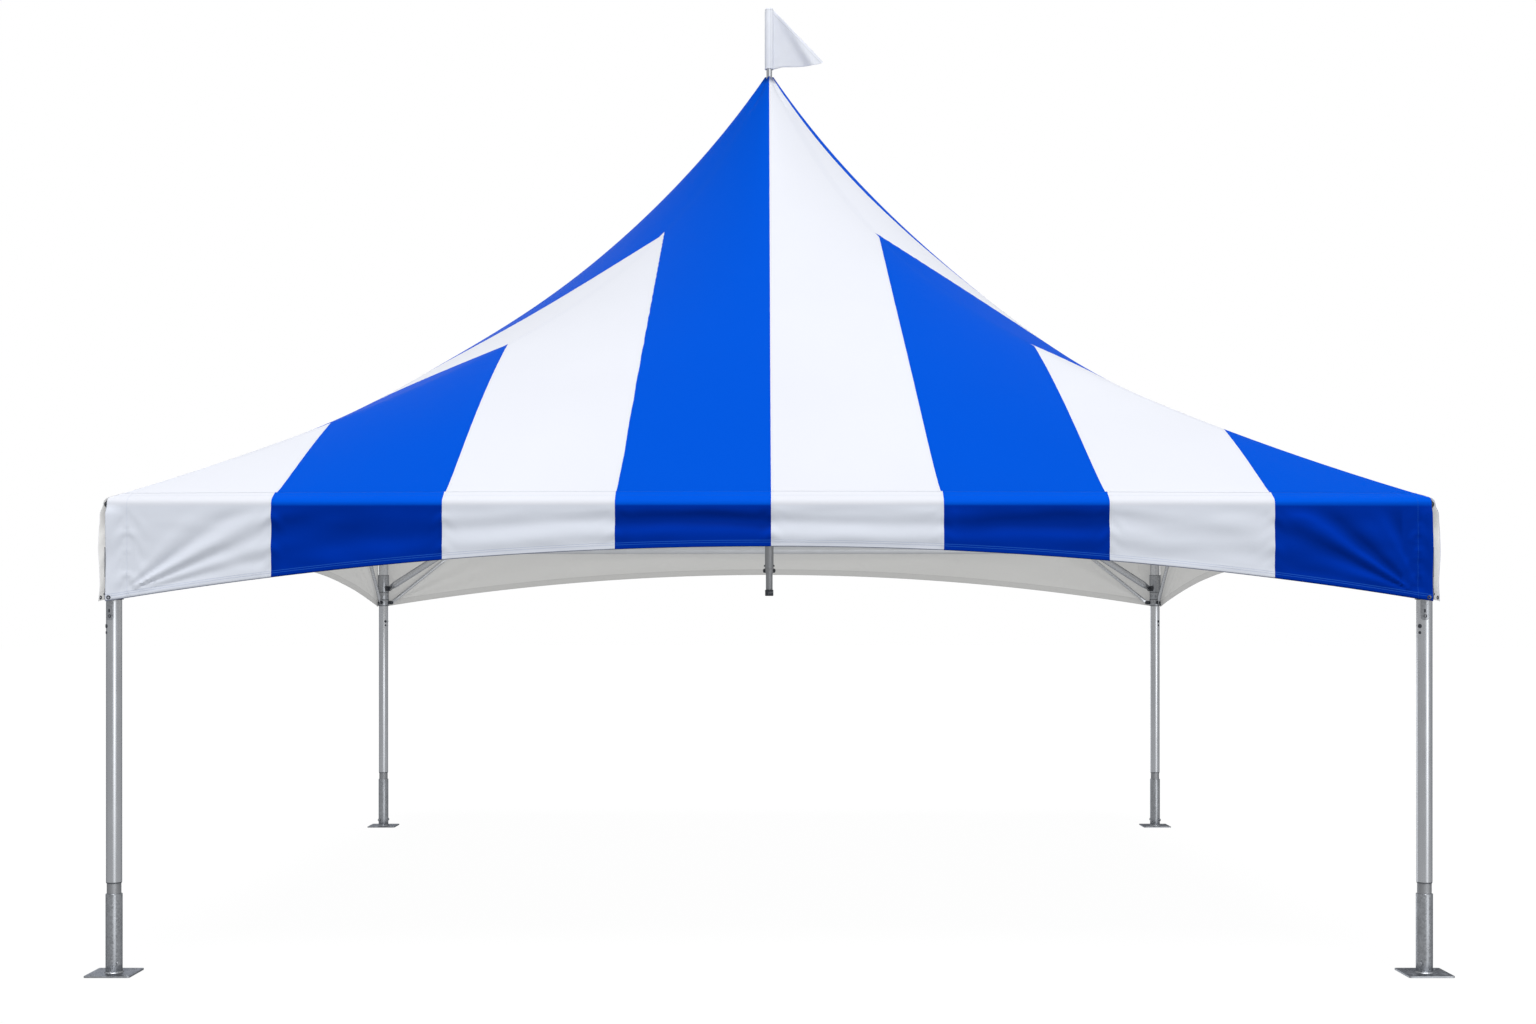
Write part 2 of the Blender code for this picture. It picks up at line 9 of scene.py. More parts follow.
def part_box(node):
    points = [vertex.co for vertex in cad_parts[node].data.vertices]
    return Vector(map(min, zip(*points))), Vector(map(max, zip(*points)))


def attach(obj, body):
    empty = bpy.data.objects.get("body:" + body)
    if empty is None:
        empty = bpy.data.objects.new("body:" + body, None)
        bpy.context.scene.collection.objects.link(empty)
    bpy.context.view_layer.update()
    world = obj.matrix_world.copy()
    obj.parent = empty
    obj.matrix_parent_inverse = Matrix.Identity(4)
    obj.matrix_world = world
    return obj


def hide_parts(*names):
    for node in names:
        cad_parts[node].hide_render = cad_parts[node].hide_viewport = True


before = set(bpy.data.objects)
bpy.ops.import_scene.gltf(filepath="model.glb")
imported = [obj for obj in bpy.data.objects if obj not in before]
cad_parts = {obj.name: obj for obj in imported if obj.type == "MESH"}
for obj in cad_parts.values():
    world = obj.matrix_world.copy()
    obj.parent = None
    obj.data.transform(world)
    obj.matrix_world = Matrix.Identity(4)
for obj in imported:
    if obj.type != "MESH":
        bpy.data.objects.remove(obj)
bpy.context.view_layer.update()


# Layout, read off the frame
def middleOf(node):
    low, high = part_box(node)
    return (low + high) / 2


def halfOf(node):
    low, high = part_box(node)
    return (high - low) / 2


legReach = middleOf("leg_front_right").x          # leg axis to the tent's middle
beamReach = -middleOf("eave_beam_front").y        # beam axis to the tent's middle
beamRadius = halfOf("eave_beam_front").y
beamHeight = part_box("eave_beam_front")[1].z - beamRadius
beamOffset = beamReach - legReach
corners = {"front_left": (-1, -1, 0), "front_right": (1, -1, 90),
           "back_right": (1, 1, 180), "back_left": (-1, 1, 270)}
sides = ["front", "right", "back", "left"]        # each a quarter turn on from the one before
print("frame loaded:", len(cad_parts), "nodes")


# Camera, at eye height in front of the tent
view = {"place": (0.0, -11.668, 1.654), "lens": 43.97, "shiftX": -0.0008, "shiftY": 0.067}
cameraData = bpy.data.cameras.new("view")
cameraData.sensor_width = 36
cameraData.lens = view["lens"]
cameraData.shift_x = view["shiftX"]
cameraData.shift_y = view["shiftY"]
cameraData.clip_end = 400
camera = bpy.data.objects.new("view", cameraData)
camera.location = view["place"]
camera.rotation_euler = (math.radians(90), 0, 0)
bpy.context.scene.collection.objects.link(camera)
bpy.context.scene.camera = camera
bpy.context.scene.view_settings.view_transform = "Standard"


# Shader sums: a Wire is one socket, and arithmetic on it adds the nodes
class Wire:
    def __init__(self, finish, socket):
        self.finish = finish
        self.socket = socket

    def sum(self, operation, *others):
        sockets = dict(enumerate((self, *others)))
        return self.finish.node("ShaderNodeMath", {"operation": operation}, sockets)

    def __add__(self, other):
        return self.sum("ADD", other)

    __radd__ = __add__

    def __mul__(self, other):
        return self.sum("MULTIPLY", other)

    __rmul__ = __mul__

    def __sub__(self, other):
        return self.sum("SUBTRACT", other)

    def __rsub__(self, other):
        return self.finish.node("ShaderNodeMath", {"operation": "SUBTRACT"}, {0: other, 1: self})

    def __truediv__(self, other):
        return self.sum("DIVIDE", other)

    def __mod__(self, other):
        return self.sum("FLOORED_MODULO", other)

    def __gt__(self, other):
        return self.sum("GREATER_THAN", other)

    def __lt__(self, other):
        return self.sum("LESS_THAN", other)

    def __abs__(self):
        return self.sum("ABSOLUTE")

    def floor(self):
        return self.sum("FLOOR")

    def clamped(self):
        made = self.sum("ADD", 0.0)
        made.socket.node.use_clamp = True
        return made


class Sums:
    def __init__(self, tree):
        self.tree = tree

    def node(self, kind, settings=None, sockets=None, output=0):
        made = self.tree.nodes.new(kind)
        for name, value in (settings or {}).items():
            setattr(made, name, value)
        for name, value in (sockets or {}).items():
            if isinstance(value, Wire):
                self.tree.links.new(value.socket, made.inputs[name])
            else:
                made.inputs[name].default_value = value
        return Wire(self, made.outputs[output])

    def vector(self, x, y, z):
        return self.node("ShaderNodeCombineXYZ", None, {0: x, 1: y, 2: z})

    def parts(self, vector):
        split = self.node("ShaderNodeSeparateXYZ", None, {0: vector}).socket.node
        return [Wire(self, socket) for socket in split.outputs[:3]]


class Finish(Sums):
    def __init__(self, name, **constants):
        self.material = bpy.data.materials.new(name)
        self.material.use_nodes = True
        super().__init__(self.material.node_tree)
        self.shader = self.tree.nodes["Principled BSDF"]
        for words, value in constants.items():
            self.shader.inputs[words.replace("_", " ")].default_value = value

    def feed(self, name, wire):
        self.tree.links.new(wire.socket, self.shader.inputs[name])

    def place(self, scale=(1, 1, 1)):
        spot = self.node("ShaderNodeTexCoord", output="Object")
        return self.node("ShaderNodeMapping", None, {"Vector": spot, "Scale": scale})

    def layer(self, name):
        return self.node("ShaderNodeUVMap", {"uv_map": name})

    def value(self, name):
        return self.node("ShaderNodeAttribute", {"attribute_name": name}, output="Fac")

    def noise(self, spot, scale, detail=3.0):
        return self.node("ShaderNodeTexNoise", None, {"Vector": spot, "Scale": scale, "Detail": detail})

    def mix(self, factor, first, second):
        made = self.node("ShaderNodeMix", {"data_type": "RGBA"}, {0: factor}).socket.node
        for place, colour in ((6, first), (7, second)):
            if isinstance(colour, Wire):
                self.tree.links.new(colour.socket, made.inputs[place])
            else:
                made.inputs[place].default_value = (*colour, 1)
        return Wire(self, made.outputs[2])

    def shaded(self, colour, amount):
        settings = {"data_type": "RGBA", "blend_type": "MULTIPLY"}
        sockets = {0: 1.0, 6: colour, 7: self.vector(amount, amount, amount)}
        made = self.node("ShaderNodeMix", settings, sockets).socket.node
        return Wire(self, made.outputs[2])

    def bump(self, height, distance, strength=1.0, under=None):
        sockets = {"Height": height, "Distance": distance, "Strength": strength}
        if under:
            sockets["Normal"] = under
        return self.node("ShaderNodeBump", None, sockets)


# Cloth finishes: coated polyester in welded stripes, plain grey inside
clothLook = {
    "roof": {"white": (0.71, 0.723, 0.775), "blue": (0.000, 0.078, 0.59)},
    # the valance is the roof's cloth painted darker, most of all in the blue: painted shade on the hanging
    # cloth
    "valance": {"white": (0.66, 0.69, 0.76), "blue": (0.000, 0.0235, 0.285)},
    "thread": {"white": (0.50, 0.55, 0.68), "blue": (0.02, 0.11, 0.50)},
    # the glow is painted light: emission on the inside cloth stands in for daylight through it
    "inside": (0.58, 0.575, 0.555), "glow": 0.20,     # daylight through the cloth
    "stripe": 0.765,          # width of a stripe at the eave
    "weld": 0.0125,           # half width of the overlap at a welded seam
    "hipBand": 0.030, "halfThread": 0.0011, "stitch": 0.009, "weave": 0.0018,
    "shadedBlue": (0.0, 0.02, 0.14),
    "turnover": 0.084, "topLines": (0.004, 0.034),    # down from the valance's upper edge
    "hemLines": (0.020, 0.029), "halfLine": 0.0015, "hemShade": 0.0028, "hemFold": 0.042,
    # brightEnd: within this of a flaring end the inside glows brighter, painted light on the flaps
    "peakShade": 4.945, "brightEnd": 0.10,
}


def stitchLine(offset, along):
    dash = (along / clothLook["stitch"]) % 1.0
    return (abs(offset) < clothLook["halfThread"]) * (dash < 0.6)


def weaveOf(across, down):
    turn = math.tau / clothLook["weave"]
    return (across * turn).sum("SINE") * (down * turn).sum("SINE")


def clothFinish(where, parity, lines):
    made = Finish(f"{where}_stripes_{parity}", Roughness=0.46, Specular_IOR_Level=0.006)
    stripe, hip, _ = made.parts(made.layer("stripes"))
    across, down, _ = made.parts(made.layer("cut"))
    blue = (((stripe + parity).floor()) % 2.0) > 0.5
    seam = abs(((stripe + 0.5) % 1.0) - 0.5) * clothLook["stripe"]
    weld = seam < clothLook["weld"]
    spot = made.place()
    clouds = made.noise(spot, 1.3, 4.0)
    grain = made.noise(spot, 260.0, 2.0)
    tones = clothLook[where]
    colour = made.mix(blue, tones["white"], tones["blue"])
    if where == "valance":                   # the turned-over top keeps the roof's tones
        over = clothLook["roof"]
        # below the turn the hanging cloth takes the darker valance tones, painted shade
        hanging = ((down - clothLook["turnover"]) * 24.0).clamped()
        colour = made.mix(hanging, made.mix(blue, over["white"], over["blue"]), colour)
        # a thin dark line along the bottom edge is painted shade under the hem
        edge = made.value("hem") < clothLook["hemShade"]
        # painted highlight and shade on the folds: the blue cloth is lighter where it stands out and darker
        # where it sinks
        light = 0.60 + 0.40 * blue * made.value("ridgeLight") + 0.40 * (1.0 - blue) + 0.09 * blue
        colour = made.shaded(colour, light)
    else:                                    # the peak is in the pole's shade
        edge = ((made.parts(spot)[2] - clothLook["peakShade"]) * 30.0).clamped()
    colour = made.mix(edge * 0.75, colour, clothLook["shadedBlue"])
    stitches = lines(made, hip, across, down)
    colour = made.shaded(colour, 0.965 + 0.05 * clouds + 0.02 * grain - 0.02 * weld)
    thread = made.mix(blue, clothLook["thread"]["white"], clothLook["thread"]["blue"])
    made.feed("Base Color", made.mix(stitches * 0.7, colour, thread))
    made.feed("Roughness", 0.40 + 0.12 * clouds + 0.04 * grain)
    fine = made.bump(weaveOf(across, down), 0.00006, 0.5)
    coarse = made.bump(made.noise(spot, 9.0, 3.0), 0.004, 0.25, fine)
    made.feed("Normal", made.bump(0.6 * weld - 0.8 * stitches, 0.0006, 0.8, coarse))
    return made.material


def roofLines(made, hip, across, down):
    band = clothLook["hipBand"]
    return (stitchLine(hip - band, down) + stitchLine(hip - band * 0.3, down)).clamped()


def valanceLines(made, hip, across, down):
    hem = made.value("hem")
    high, low = clothLook["topLines"]
    top = stitchLine(down - high, across) + stitchLine(down - low, across)
    low, high = clothLook["hemLines"]
    bottom = (abs(hem - low) < clothLook["halfLine"]) + (abs(hem - high) < clothLook["halfLine"])
    ends = stitchLine(across + valance["leftSeam"], down) + stitchLine(across - valance["rightSeam"], down)
    return (top + bottom + ends).clamped()


def insideFinish():
    made = Finish("cloth_inside", Roughness=0.6, Specular_IOR_Level=0.15)
    # painted glow, standing in for daylight through the cloth
    made.shader.inputs["Emission Strength"].default_value = clothLook["glow"]
    spot = made.place()
    clouds = made.noise(spot, 1.7, 4.0)
    grain = made.noise(spot, 300.0, 2.0)
    across, down, _ = made.parts(made.layer("cut"))
    hem = made.value("hem")
    fold = clothLook["hemFold"]
    folded = (hem < fold) * 0.19 + (abs(hem - fold) < 0.003) * 0.12 + (hem < 0.005) * 0.14
    tone = 0.95 + 0.07 * clouds + 0.03 * grain - folded
    made.feed("Base Color", made.shaded(made.vector(*clothLook["inside"]), tone))
    # painted light: the glow rises near a flaring end so the flaps' inner side looks lit
    glow = 1.0 + 1.3 * (1.0 - made.value("end") / clothLook["brightEnd"]).clamped()
    made.feed("Emission Color", made.vector(glow, glow, glow))
    made.feed("Roughness", 0.52 + 0.14 * clouds)
    made.feed("Normal", made.bump(weaveOf(across, down), 0.00008, 0.6))
    return made.material


def pennantFinish():
    made = Finish("pennant_weave", Roughness=0.62, Specular_IOR_Level=0.2)
    spot = made.place()
    grain = made.noise(spot, 420.0, 2.0)
    clouds = made.noise(spot, 14.0, 3.0)
    x, _, z = made.parts(spot)
    across = (pennant["topStart"] - z - pennant["fall"] * (x - pennant["root"])) * pennant["slant"]
    flies = x > pennant["root"]
    fold, half = pennant["hem"], pennant["halfLine"]
    hem = 0.06 * ((across < fold) * flies + (x < pennant["root"]) - 1.0)
    seams = (abs(across - fold) < half) * flies + (abs(z - pennant["hood"]) < half * 1.2)
    for line in pennant["sleeveLines"]:
        seams = seams + (abs(x - line) < half)
    tone = 0.95 + 0.08 * clouds + 0.05 * grain + hem - 0.16 * seams
    made.feed("Base Color", made.shaded(made.vector(*pennant["colour"]), tone))
    made.feed("Roughness", 0.55 + 0.15 * clouds)
    made.feed("Normal", made.bump(grain, 0.0004, 0.5))
    return made.material


# Metal finishes
metalLook = {
    "drawn": (0.72, 0.15), "beam": (0.86, 0.40), "mast": (0.42, 0.42),       # brightness, least roughness
    "zinc": (0.46, 0.475, 0.50), "bolt": (0.50, 0.51, 0.53),
    "coat": (0.055, 0.060, 0.072), "worn": (0.24, 0.25, 0.27),
}


def drawnAluminium(kind, name, stretch):
    tone, rough = metalLook[kind]
    made = Finish(name, Metallic=1.0, Specular_Tint=(0.30, 0.31, 0.34, 1))
    streaks = made.noise(made.place(stretch), 240.0, 4.0)
    smudge = made.noise(made.place(), 7.0, 4.0)
    spots = made.noise(made.place(), 60.0, 2.0)
    colour = made.vector(tone, tone * 1.02, tone * 1.06)
    made.feed("Base Color", made.shaded(colour, 0.84 + 0.12 * streaks + 0.14 * smudge))
    made.feed("Roughness", rough + 0.10 * streaks + 0.10 * smudge + 0.05 * spots)
    made.feed("Normal", made.bump(streaks, 0.0003, 0.35))
    return made.material


def galvanised():
    made = Finish("galvanised", Metallic=0.95, Specular_Tint=(0.22, 0.23, 0.26, 1))
    spot = made.place()
    cells = made.node("ShaderNodeTexVoronoi", None, {"Vector": spot, "Scale": 130.0}, "Color")
    spangle, _, _ = made.parts(cells)
    smudge = made.noise(spot, 16.0, 4.0)
    colour = made.vector(*metalLook["zinc"])
    made.feed("Base Color", made.shaded(colour, 0.70 + 0.22 * spangle + 0.32 * smudge))
    made.feed("Roughness", 0.20 + 0.14 * spangle + 0.12 * smudge)
    made.feed("Normal", made.bump(spangle * 0.5 + smudge, 0.0008, 0.4))
    return made.material


def darkCoat():
    made = Finish("dark_coat", Metallic=0.35)
    spot = made.place()
    speckle = made.noise(spot, 520.0, 3.0)
    rub = made.noise(spot, 30.0, 4.0)
    worn = ((rub - 0.62) * 9.0).clamped()
    made.feed("Base Color", made.mix(worn, metalLook["coat"], metalLook["worn"]))
    made.feed("Roughness", 0.42 + 0.14 * speckle + 0.1 * rub)
    made.feed("Normal", made.bump(speckle, 0.0005, 0.5))
    return made.material


def zincBolt():
    made = Finish("zinc_bolt", Metallic=1.0)
    smudge = made.noise(made.place(), 90.0, 3.0)
    made.feed("Base Color", made.shaded(made.vector(*metalLook["bolt"]), 0.72 + 0.45 * smudge))
    made.feed("Roughness", 0.25 + 0.25 * smudge)
    made.feed("Normal", made.bump(smudge, 0.0003, 0.3))
    return made.material


upright = drawnAluminium("drawn", "aluminium_upright", (1, 1, 0.02))
sloping = drawnAluminium("drawn", "aluminium_sloping", (0.3, 0.3, 0.5))
crossways = drawnAluminium("beam", "aluminium_crossways", (0.02, 1, 1))
lengthways = drawnAluminium("beam", "aluminium_lengthways", (1, 0.02, 1))
mastMetal = drawnAluminium("mast", "aluminium_mast", (1, 1, 0.02))
zinc = galvanised()
dark = darkCoat()
bolted = zincBolt()
print("finishes made")


# Making and placing
def showPiece(name, bm, finishes, stands=(), body="tent", sharp=35, matrix=None):
    if matrix:
        bmesh.ops.transform(bm, matrix=matrix, verts=bm.verts[:])
    meshData = bpy.data.meshes.new(name)
    bm.to_mesh(meshData)
    bm.free()
    meshData.shade_smooth()
    meshData.set_sharp_from_angle(angle=math.radians(sharp))
    piece = bpy.data.objects.new(name, meshData)
    bpy.context.scene.collection.objects.link(piece)
    for finish in finishes:
        meshData.materials.append(finish)
    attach(piece, body)
    if stands:
        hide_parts(*stands)
    return piece


def joined(parts):                           # each (mesh, matrix) or (mesh, matrix, finish number)
    whole = bmesh.new()
    for part, matrix, *finish in parts:
        if matrix:
            bmesh.ops.transform(part, matrix=matrix, verts=part.verts[:])
        for face in part.faces if finish else ():
            face.material_index = finish[0]
        passing = bpy.data.meshes.new("passing")
        part.to_mesh(passing)
        part.free()
        whole.from_mesh(passing)
        bpy.data.meshes.remove(passing)
    return whole


def merged(bm):
    bmesh.ops.remove_doubles(bm, verts=bm.verts[:], dist=0.00001)
    return bm


def facedOut(bm):
    bmesh.ops.recalc_face_normals(bm, faces=bm.faces[:])
    return bm


def pushed(bm, faces):                       # extrudes the faces and gives their new points
    grown = bmesh.ops.extrude_face_region(bm, geom=faces)
    return [item for item in grown["geom"] if isinstance(item, bmesh.types.BMVert)]


def turned(angle):
    return Matrix.Rotation(math.radians(angle), 4, "Z")


def moved(x, y, z):
    return Matrix.Translation((x, y, z))


layAlongX = Matrix.Rotation(math.radians(90), 4, "Y")
layAlongY = Matrix.Rotation(math.radians(-90), 4, "X")


def soften(bm, width, segments=2, over=40):
    bm.normal_update()
    edges = [edge for edge in bm.edges
             if edge.is_manifold and edge.calc_face_angle(0) > math.radians(over)]
    bmesh.ops.bevel(bm, geom=edges, offset=width, affect="EDGES", segments=segments, profile=0.5,
                    material=-1, clamp_overlap=True)
    return bm


def spun(profile, steps=48, closed=False, edge=0.0):
    bm = bmesh.new()
    points = [bm.verts.new((radius, 0, height)) for radius, height in profile]
    edges = [bm.edges.new(pair) for pair in zip(points, points[1:])]
    if closed:
        edges.append(bm.edges.new((points[-1], points[0])))
    bmesh.ops.spin(bm, geom=points + edges, cent=(0, 0, 0), axis=(0, 0, 1), angle=math.tau,
                   steps=steps, use_merge=True)
    facedOut(merged(bm))
    return soften(bm, edge) if edge else bm


def tube(outer, inner, low, high, steps=48, edge=0.0006):
    return spun([(outer, low), (outer, high), (inner, high), (inner, low)], steps, True, edge)


def rod(radius, low, high, steps=24, edge=0.0006):
    return spun([(0, low), (radius, low), (radius, high), (0, high)], steps, False, edge)


def plate(outline, thick, edge=0.0006):
    bm = bmesh.new()
    face = bm.faces.new([bm.verts.new((x, -thick / 2, z)) for x, z in outline])
    bmesh.ops.translate(bm, verts=pushed(bm, [face]), vec=(0, thick, 0))
    facedOut(bm)
    return soften(bm, edge, 1) if edge else bm


def roundEnd(x, z, radius, start, steps=12):
    turns = [start + math.pi * step / steps for step in range(steps + 1)]
    return [(x + radius * math.cos(turn), z + radius * math.sin(turn)) for turn in turns]


def hexagon(width, low, high):
    bm = bmesh.new()
    bmesh.ops.create_cone(bm, cap_ends=True, segments=6, radius1=width / math.sqrt(3),
                          radius2=width / math.sqrt(3), depth=high - low)
    bmesh.ops.translate(bm, verts=bm.verts[:], vec=(0, 0, (low + high) / 2))
    return soften(bm, 0.0006, 1)


def bolt(radius, grip):                     # along Y, its middle at the origin
    half = grip / 2
    washer = radius * 2.1
    parts = [
        (rod(radius, -half - radius, half + radius * 2.2, 20), layAlongY),
        (rod(washer, -half - 0.0012, -half, 28, 0.0003), layAlongY),
        (rod(washer, half, half + 0.0012, 28, 0.0003), layAlongY),
        (hexagon(radius * 3.2, -half - 0.0012 - radius * 1.3, -half - 0.0012), layAlongY),
        (hexagon(radius * 3.2, half + 0.0012, half + 0.0012 + radius * 1.6), layAlongY),
    ]
    return joined(parts)


# A sheet starts as a flat grid, and place(column, row) gives each point its spot
sheetValues = ("hem", "end", "ridgeLight")


def gridOf(columns, rows, place):
    bm = bmesh.new()
    for name in ("stripes", "cut"):
        bm.loops.layers.uv.new(name)
    for name in sheetValues:
        bm.verts.layers.float.new(name)
    bmesh.ops.create_grid(bm, x_segments=columns, y_segments=rows, size=0.5)
    spots = {}
    layers = [bm.verts.layers.float[name] for name in sheetValues]
    for vert in bm.verts:
        spot = (round((vert.co.x + 0.5) * columns), round((vert.co.y + 0.5) * rows))
        spots[vert] = spot
        vert.co = place(*spot)
        for layer in layers:
            vert[layer] = 1.0
    return bm, spots


def sewn(piece, thick):
    coat = piece.modifiers.new("cloth", "SOLIDIFY")
    coat.thickness = thick
    coat.offset = -1
    coat.material_offset = 1


# Roof cloth
roof = {
    "middleRise": (2.50, 0.0, 0.35, 5.8), "hipRise": (1.39, 0.67, 0.79, 6.4), "bend": 0.14,
    "billow": (0.042, 0.042, 0.042, 0.17), "bow": (0.0, 0.58, 0.0, 0.0),
    "ring": 0.026, "throat": 0.0188, "skin": 0.0318, "thick": 0.0011, "columns": 64, "slopeRows": 54,
    "turnRows": 7, "crowding": 1.7, "tuck": 0.012, "cornerCut": 4.296,
    "seamCurve": 0.75, "seamFoot": 2.19, "seamReach": 3.05,
    "eaveSeams": (-2.285, -1.501, -0.708, 0.008, 0.801, 1.562, 2.319),
    "hipSeams": (2.210, 1.427, 0.615, 0.0, 0.645, 1.443, 2.276),
}


def riseAt(share, terms):
    first, second, last, power = terms
    return first * share + second * share ** 2 + last * share ** power


def hipShare(across):
    bend = roof["bend"]
    flat = math.sqrt(across * across + bend * bend) - bend
    return flat / (math.sqrt(1 + bend * bend) - bend)


def turnStart(across):
    blend = hipShare(across)
    return math.atan((roof["middleRise"][0] * (1 - blend) + roof["hipRise"][0] * blend) / beamReach)


def overBeam(angle, skin):
    return beamReach + skin * math.sin(angle), beamHeight + skin * math.cos(angle)


def roofHeight(reach, across, skin, face=0):
    edge, height = overBeam(turnStart(across), skin)
    share = (edge - reach) / edge
    blend = hipShare(across)
    billow = roof["billow"][face] * share ** 2 * (1 - share) ** 6 * 89.9         # fullest a quarter up
    height += (riseAt(share, roof["middleRise"]) + billow) * (1 - blend)
    return height + riseAt(share, roof["hipRise"]) * blend


seamTops = [roofHeight(max(tip, roof["ring"]), 1.0, roof["skin"]) for tip in roof["hipSeams"]]


def stripeAt(face, reach, height, x):        # 0 to 8 from a face's left end to its right
    low = roof["seamFoot"]
    places = []
    for number, (eave, tip) in enumerate(zip(roof["eaveSeams"], roof["hipSeams"])):
        tip = math.copysign(tip, number - 3)
        up = max((height - low) / (seamTops[number] - low), 0.0) ** roof["seamCurve"]
        places.append(eave - (eave - tip) * up)
    share = min(reach / roof["seamReach"], 1.0)
    places[3] -= roof["bow"][face] * share ** 0.8 * (1 - share * share)
    places = [2 * places[0] - places[1]] + places + [2 * places[6] - places[5]]
    for number in range(8):
        if x < places[number + 1] or number == 7:
            return number + (x - places[number]) / (places[number + 1] - places[number])


def roofSpot(column, row):
    columns, rows = roof["columns"], roof["slopeRows"]
    face = min(column // columns, 3)
    across = 2 * (column - face * columns) / columns - 1
    start = turnStart(across)
    if row < roof["turnRows"]:
        low = -roof["tuck"] if row == 0 else 0.0
        angle = math.pi / 2 + (start - math.pi / 2) * max(row - 1, 0) / (roof["turnRows"] - 1)
        reach, height = overBeam(angle, roof["skin"])
        height += low
    else:
        share = (max(rows - (row - roof["turnRows"]) - 2, 0) / (rows - 1)) ** roof["crowding"]
        edge = overBeam(start, roof["skin"])[0]
        reach = roof["ring"] + (edge - roof["ring"]) * share
        height = roofHeight(reach, across, roof["skin"], face)
        if row == roof["turnRows"] + rows - 1:                  # drawn in round the flag pole
            reach = roof["throat"]
    return face, across, reach, height


def roofPlace(column, row):
    face, across, reach, height = roofSpot(column, row)
    rounding = max(0.0, 1 - (reach - roof["ring"]) / 0.10)      # square turns round at the ring
    draw = 1 + rounding * (1 / math.sqrt(1 + across * across) - 1)
    return turned(90 * face) @ Vector((across * reach * draw, -reach * draw, height))


insideCloth = insideFinish()
roofCloth = {parity: clothFinish("roof", parity, roofLines) for parity in (0, 1)}


def roofPiece():
    around = 4 * roof["columns"]
    rows = roof["turnRows"] + roof["slopeRows"] - 1
    bm, spots = gridOf(around, rows, roofPlace)
    stripes = bm.loops.layers.uv["stripes"]
    cut = bm.loops.layers.uv["cut"]
    runs = {}
    for column in range(around + 1):
        length, last = 0.0, None
        for row in range(rows + 1):
            point = roofPlace(column, row)
            length += (point - last).length if last else 0.0
            runs[column, row] = length
            last = point
    for poly in bm.faces:
        face = min(spots[vert][0] for vert in poly.verts) // roof["columns"]
        for loop in poly.loops:
            column, row = spots[loop.vert]
            across = 2 * (column - face * roof["columns"]) / roof["columns"] - 1
            reach, height = roofSpot(column, row)[2:]
            stripe = stripeAt(face, reach, height, across * reach)
            loop[stripes].uv = (stripe, (1 - abs(across)) * reach * 0.8)
            loop[cut].uv = (across * reach, runs[column, row])
        poly.material_index = 0 if face % 2 == 0 else 2
    merged(bm)
    for signX, signY, _ in corners.values():
        outwards = Vector((signX, signY, 0)).normalized()
        whole = bm.verts[:] + bm.edges[:] + bm.faces[:]
        bmesh.ops.bisect_plane(bm, geom=whole, plane_co=outwards * roof["cornerCut"], plane_no=outwards,
                               clear_outer=True)
    area = sum(poly.calc_area() for poly in bm.faces)
    stands = [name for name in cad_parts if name.startswith("roof_")]
    finishes = [roofCloth[0], insideCloth, roofCloth[1], insideCloth]
    piece = showPiece("roof_cloth", bm, finishes, stands, sharp=24)
    sewn(piece, roof["thick"])
    print("roof cloth made:", round(area, 1), "square metres")


roofPiece()


# Valances: each is sewn over the roof's edge, goes round the beam and hangs
valance = {
    "halfLength": 3.038, "skin": 0.0331, "thick": 0.0010, "overlap": 0.062, "columns": 460,
    "slopeRows": 5, "turnRows": 7, "hangRows": 36, "crowding": 0.30,
    "cornerHeight": 1.712, "middleHeight": 1.968, "span": 3.0663,
    "hem": 0.028, "hemLift": 0.0012, "hemHold": (0.7, 0.04), "slackTop": 0.22, "backLonger": 0.024,
    "flare": 0.019, "flareTop": 0.10, "flareAt": 2.955, "flareWidth": 0.083, "flareWave": (0.22, 19),
    "collarReach": 3.0632, "shading": 90,
    "leftSeam": 2.946, "rightSeam": 2.975, "fanAt": (3.000, 1.735), "fanSwell": 0.36, "fanStart": 0.09,
    "leftFan": ((45, 4.6, 0.005), (35.5, 3.6, -0.009), (28.5, 3.5, 0.011), (23, 2.8, -0.007),
                (18.5, 2.7, 0.005), (14.5, 2.7, -0.005), (9.5, 3.6, 0.003)),
    "rightFan": ((72, 5.0, -0.005), (62, 5.0, 0.006), (53, 4.6, 0.003), (42, 3.9, -0.009),
                 (33.5, 3.7, 0.012), (27, 3.5, -0.008), (20, 4.0, 0.005), (13, 3.0, -0.004)),
}
eyelet = {"places": (-3.023, 3.021), "z": 1.734, "outer": 0.0100, "inner": 0.0045, "half": 0.0032}


def smooth(value):
    value = min(max(value, 0.0), 1.0)
    return value * value * (3 - 2 * value)


def near(distance, width):
    return math.exp(-(distance / width) ** 2)


def valanceBottom(x):
    drop = valance["middleHeight"] - valance["cornerHeight"]
    return valance["middleHeight"] - drop * (x / valance["span"]) ** 2


def fan(x, z, end, rays):                    # folds that spread from near a bottom corner
    footX, footZ = valance["fanAt"]
    inwards = footX - x * end
    up = z - footZ
    distance = math.hypot(inwards, up)
    angle = math.degrees(math.atan2(up, inwards))
    swell = distance / valance["fanSwell"] * math.exp(1 - distance / valance["fanSwell"])
    height = sum(height * near(angle - at, width) for at, width, height in rays)
    return height * swell * smooth(distance / valance["fanStart"])


creases = {                                  # heights and widths in metres
    "long": ((-0.0075, 0.38, 0.15), (0.0070, 0.70, 0.16)),       # height, place down the drop, width
    "slant": (0.07, 3.1), "sway": (0.7, 1.4),                    # amount, waves
    "broad": (0.0060, 1.9, 8.0), "fine": (0.0030, 5.5, 15.0),    # height, waves across, waves down
    "pucker": (0.0060, 16.0, 13.0, 0.07),                        # the same, and its width beside a seam
    "seamRipple": (0.0016, 90, 0.8, 0.05),                       # height, waves, lean, width
    "endRipple": (0.0032, 62, 1.1, 0.060), "endSeam": (0.0022, 0.006), "endPinch": (0.0022, 165, 0.022),
}


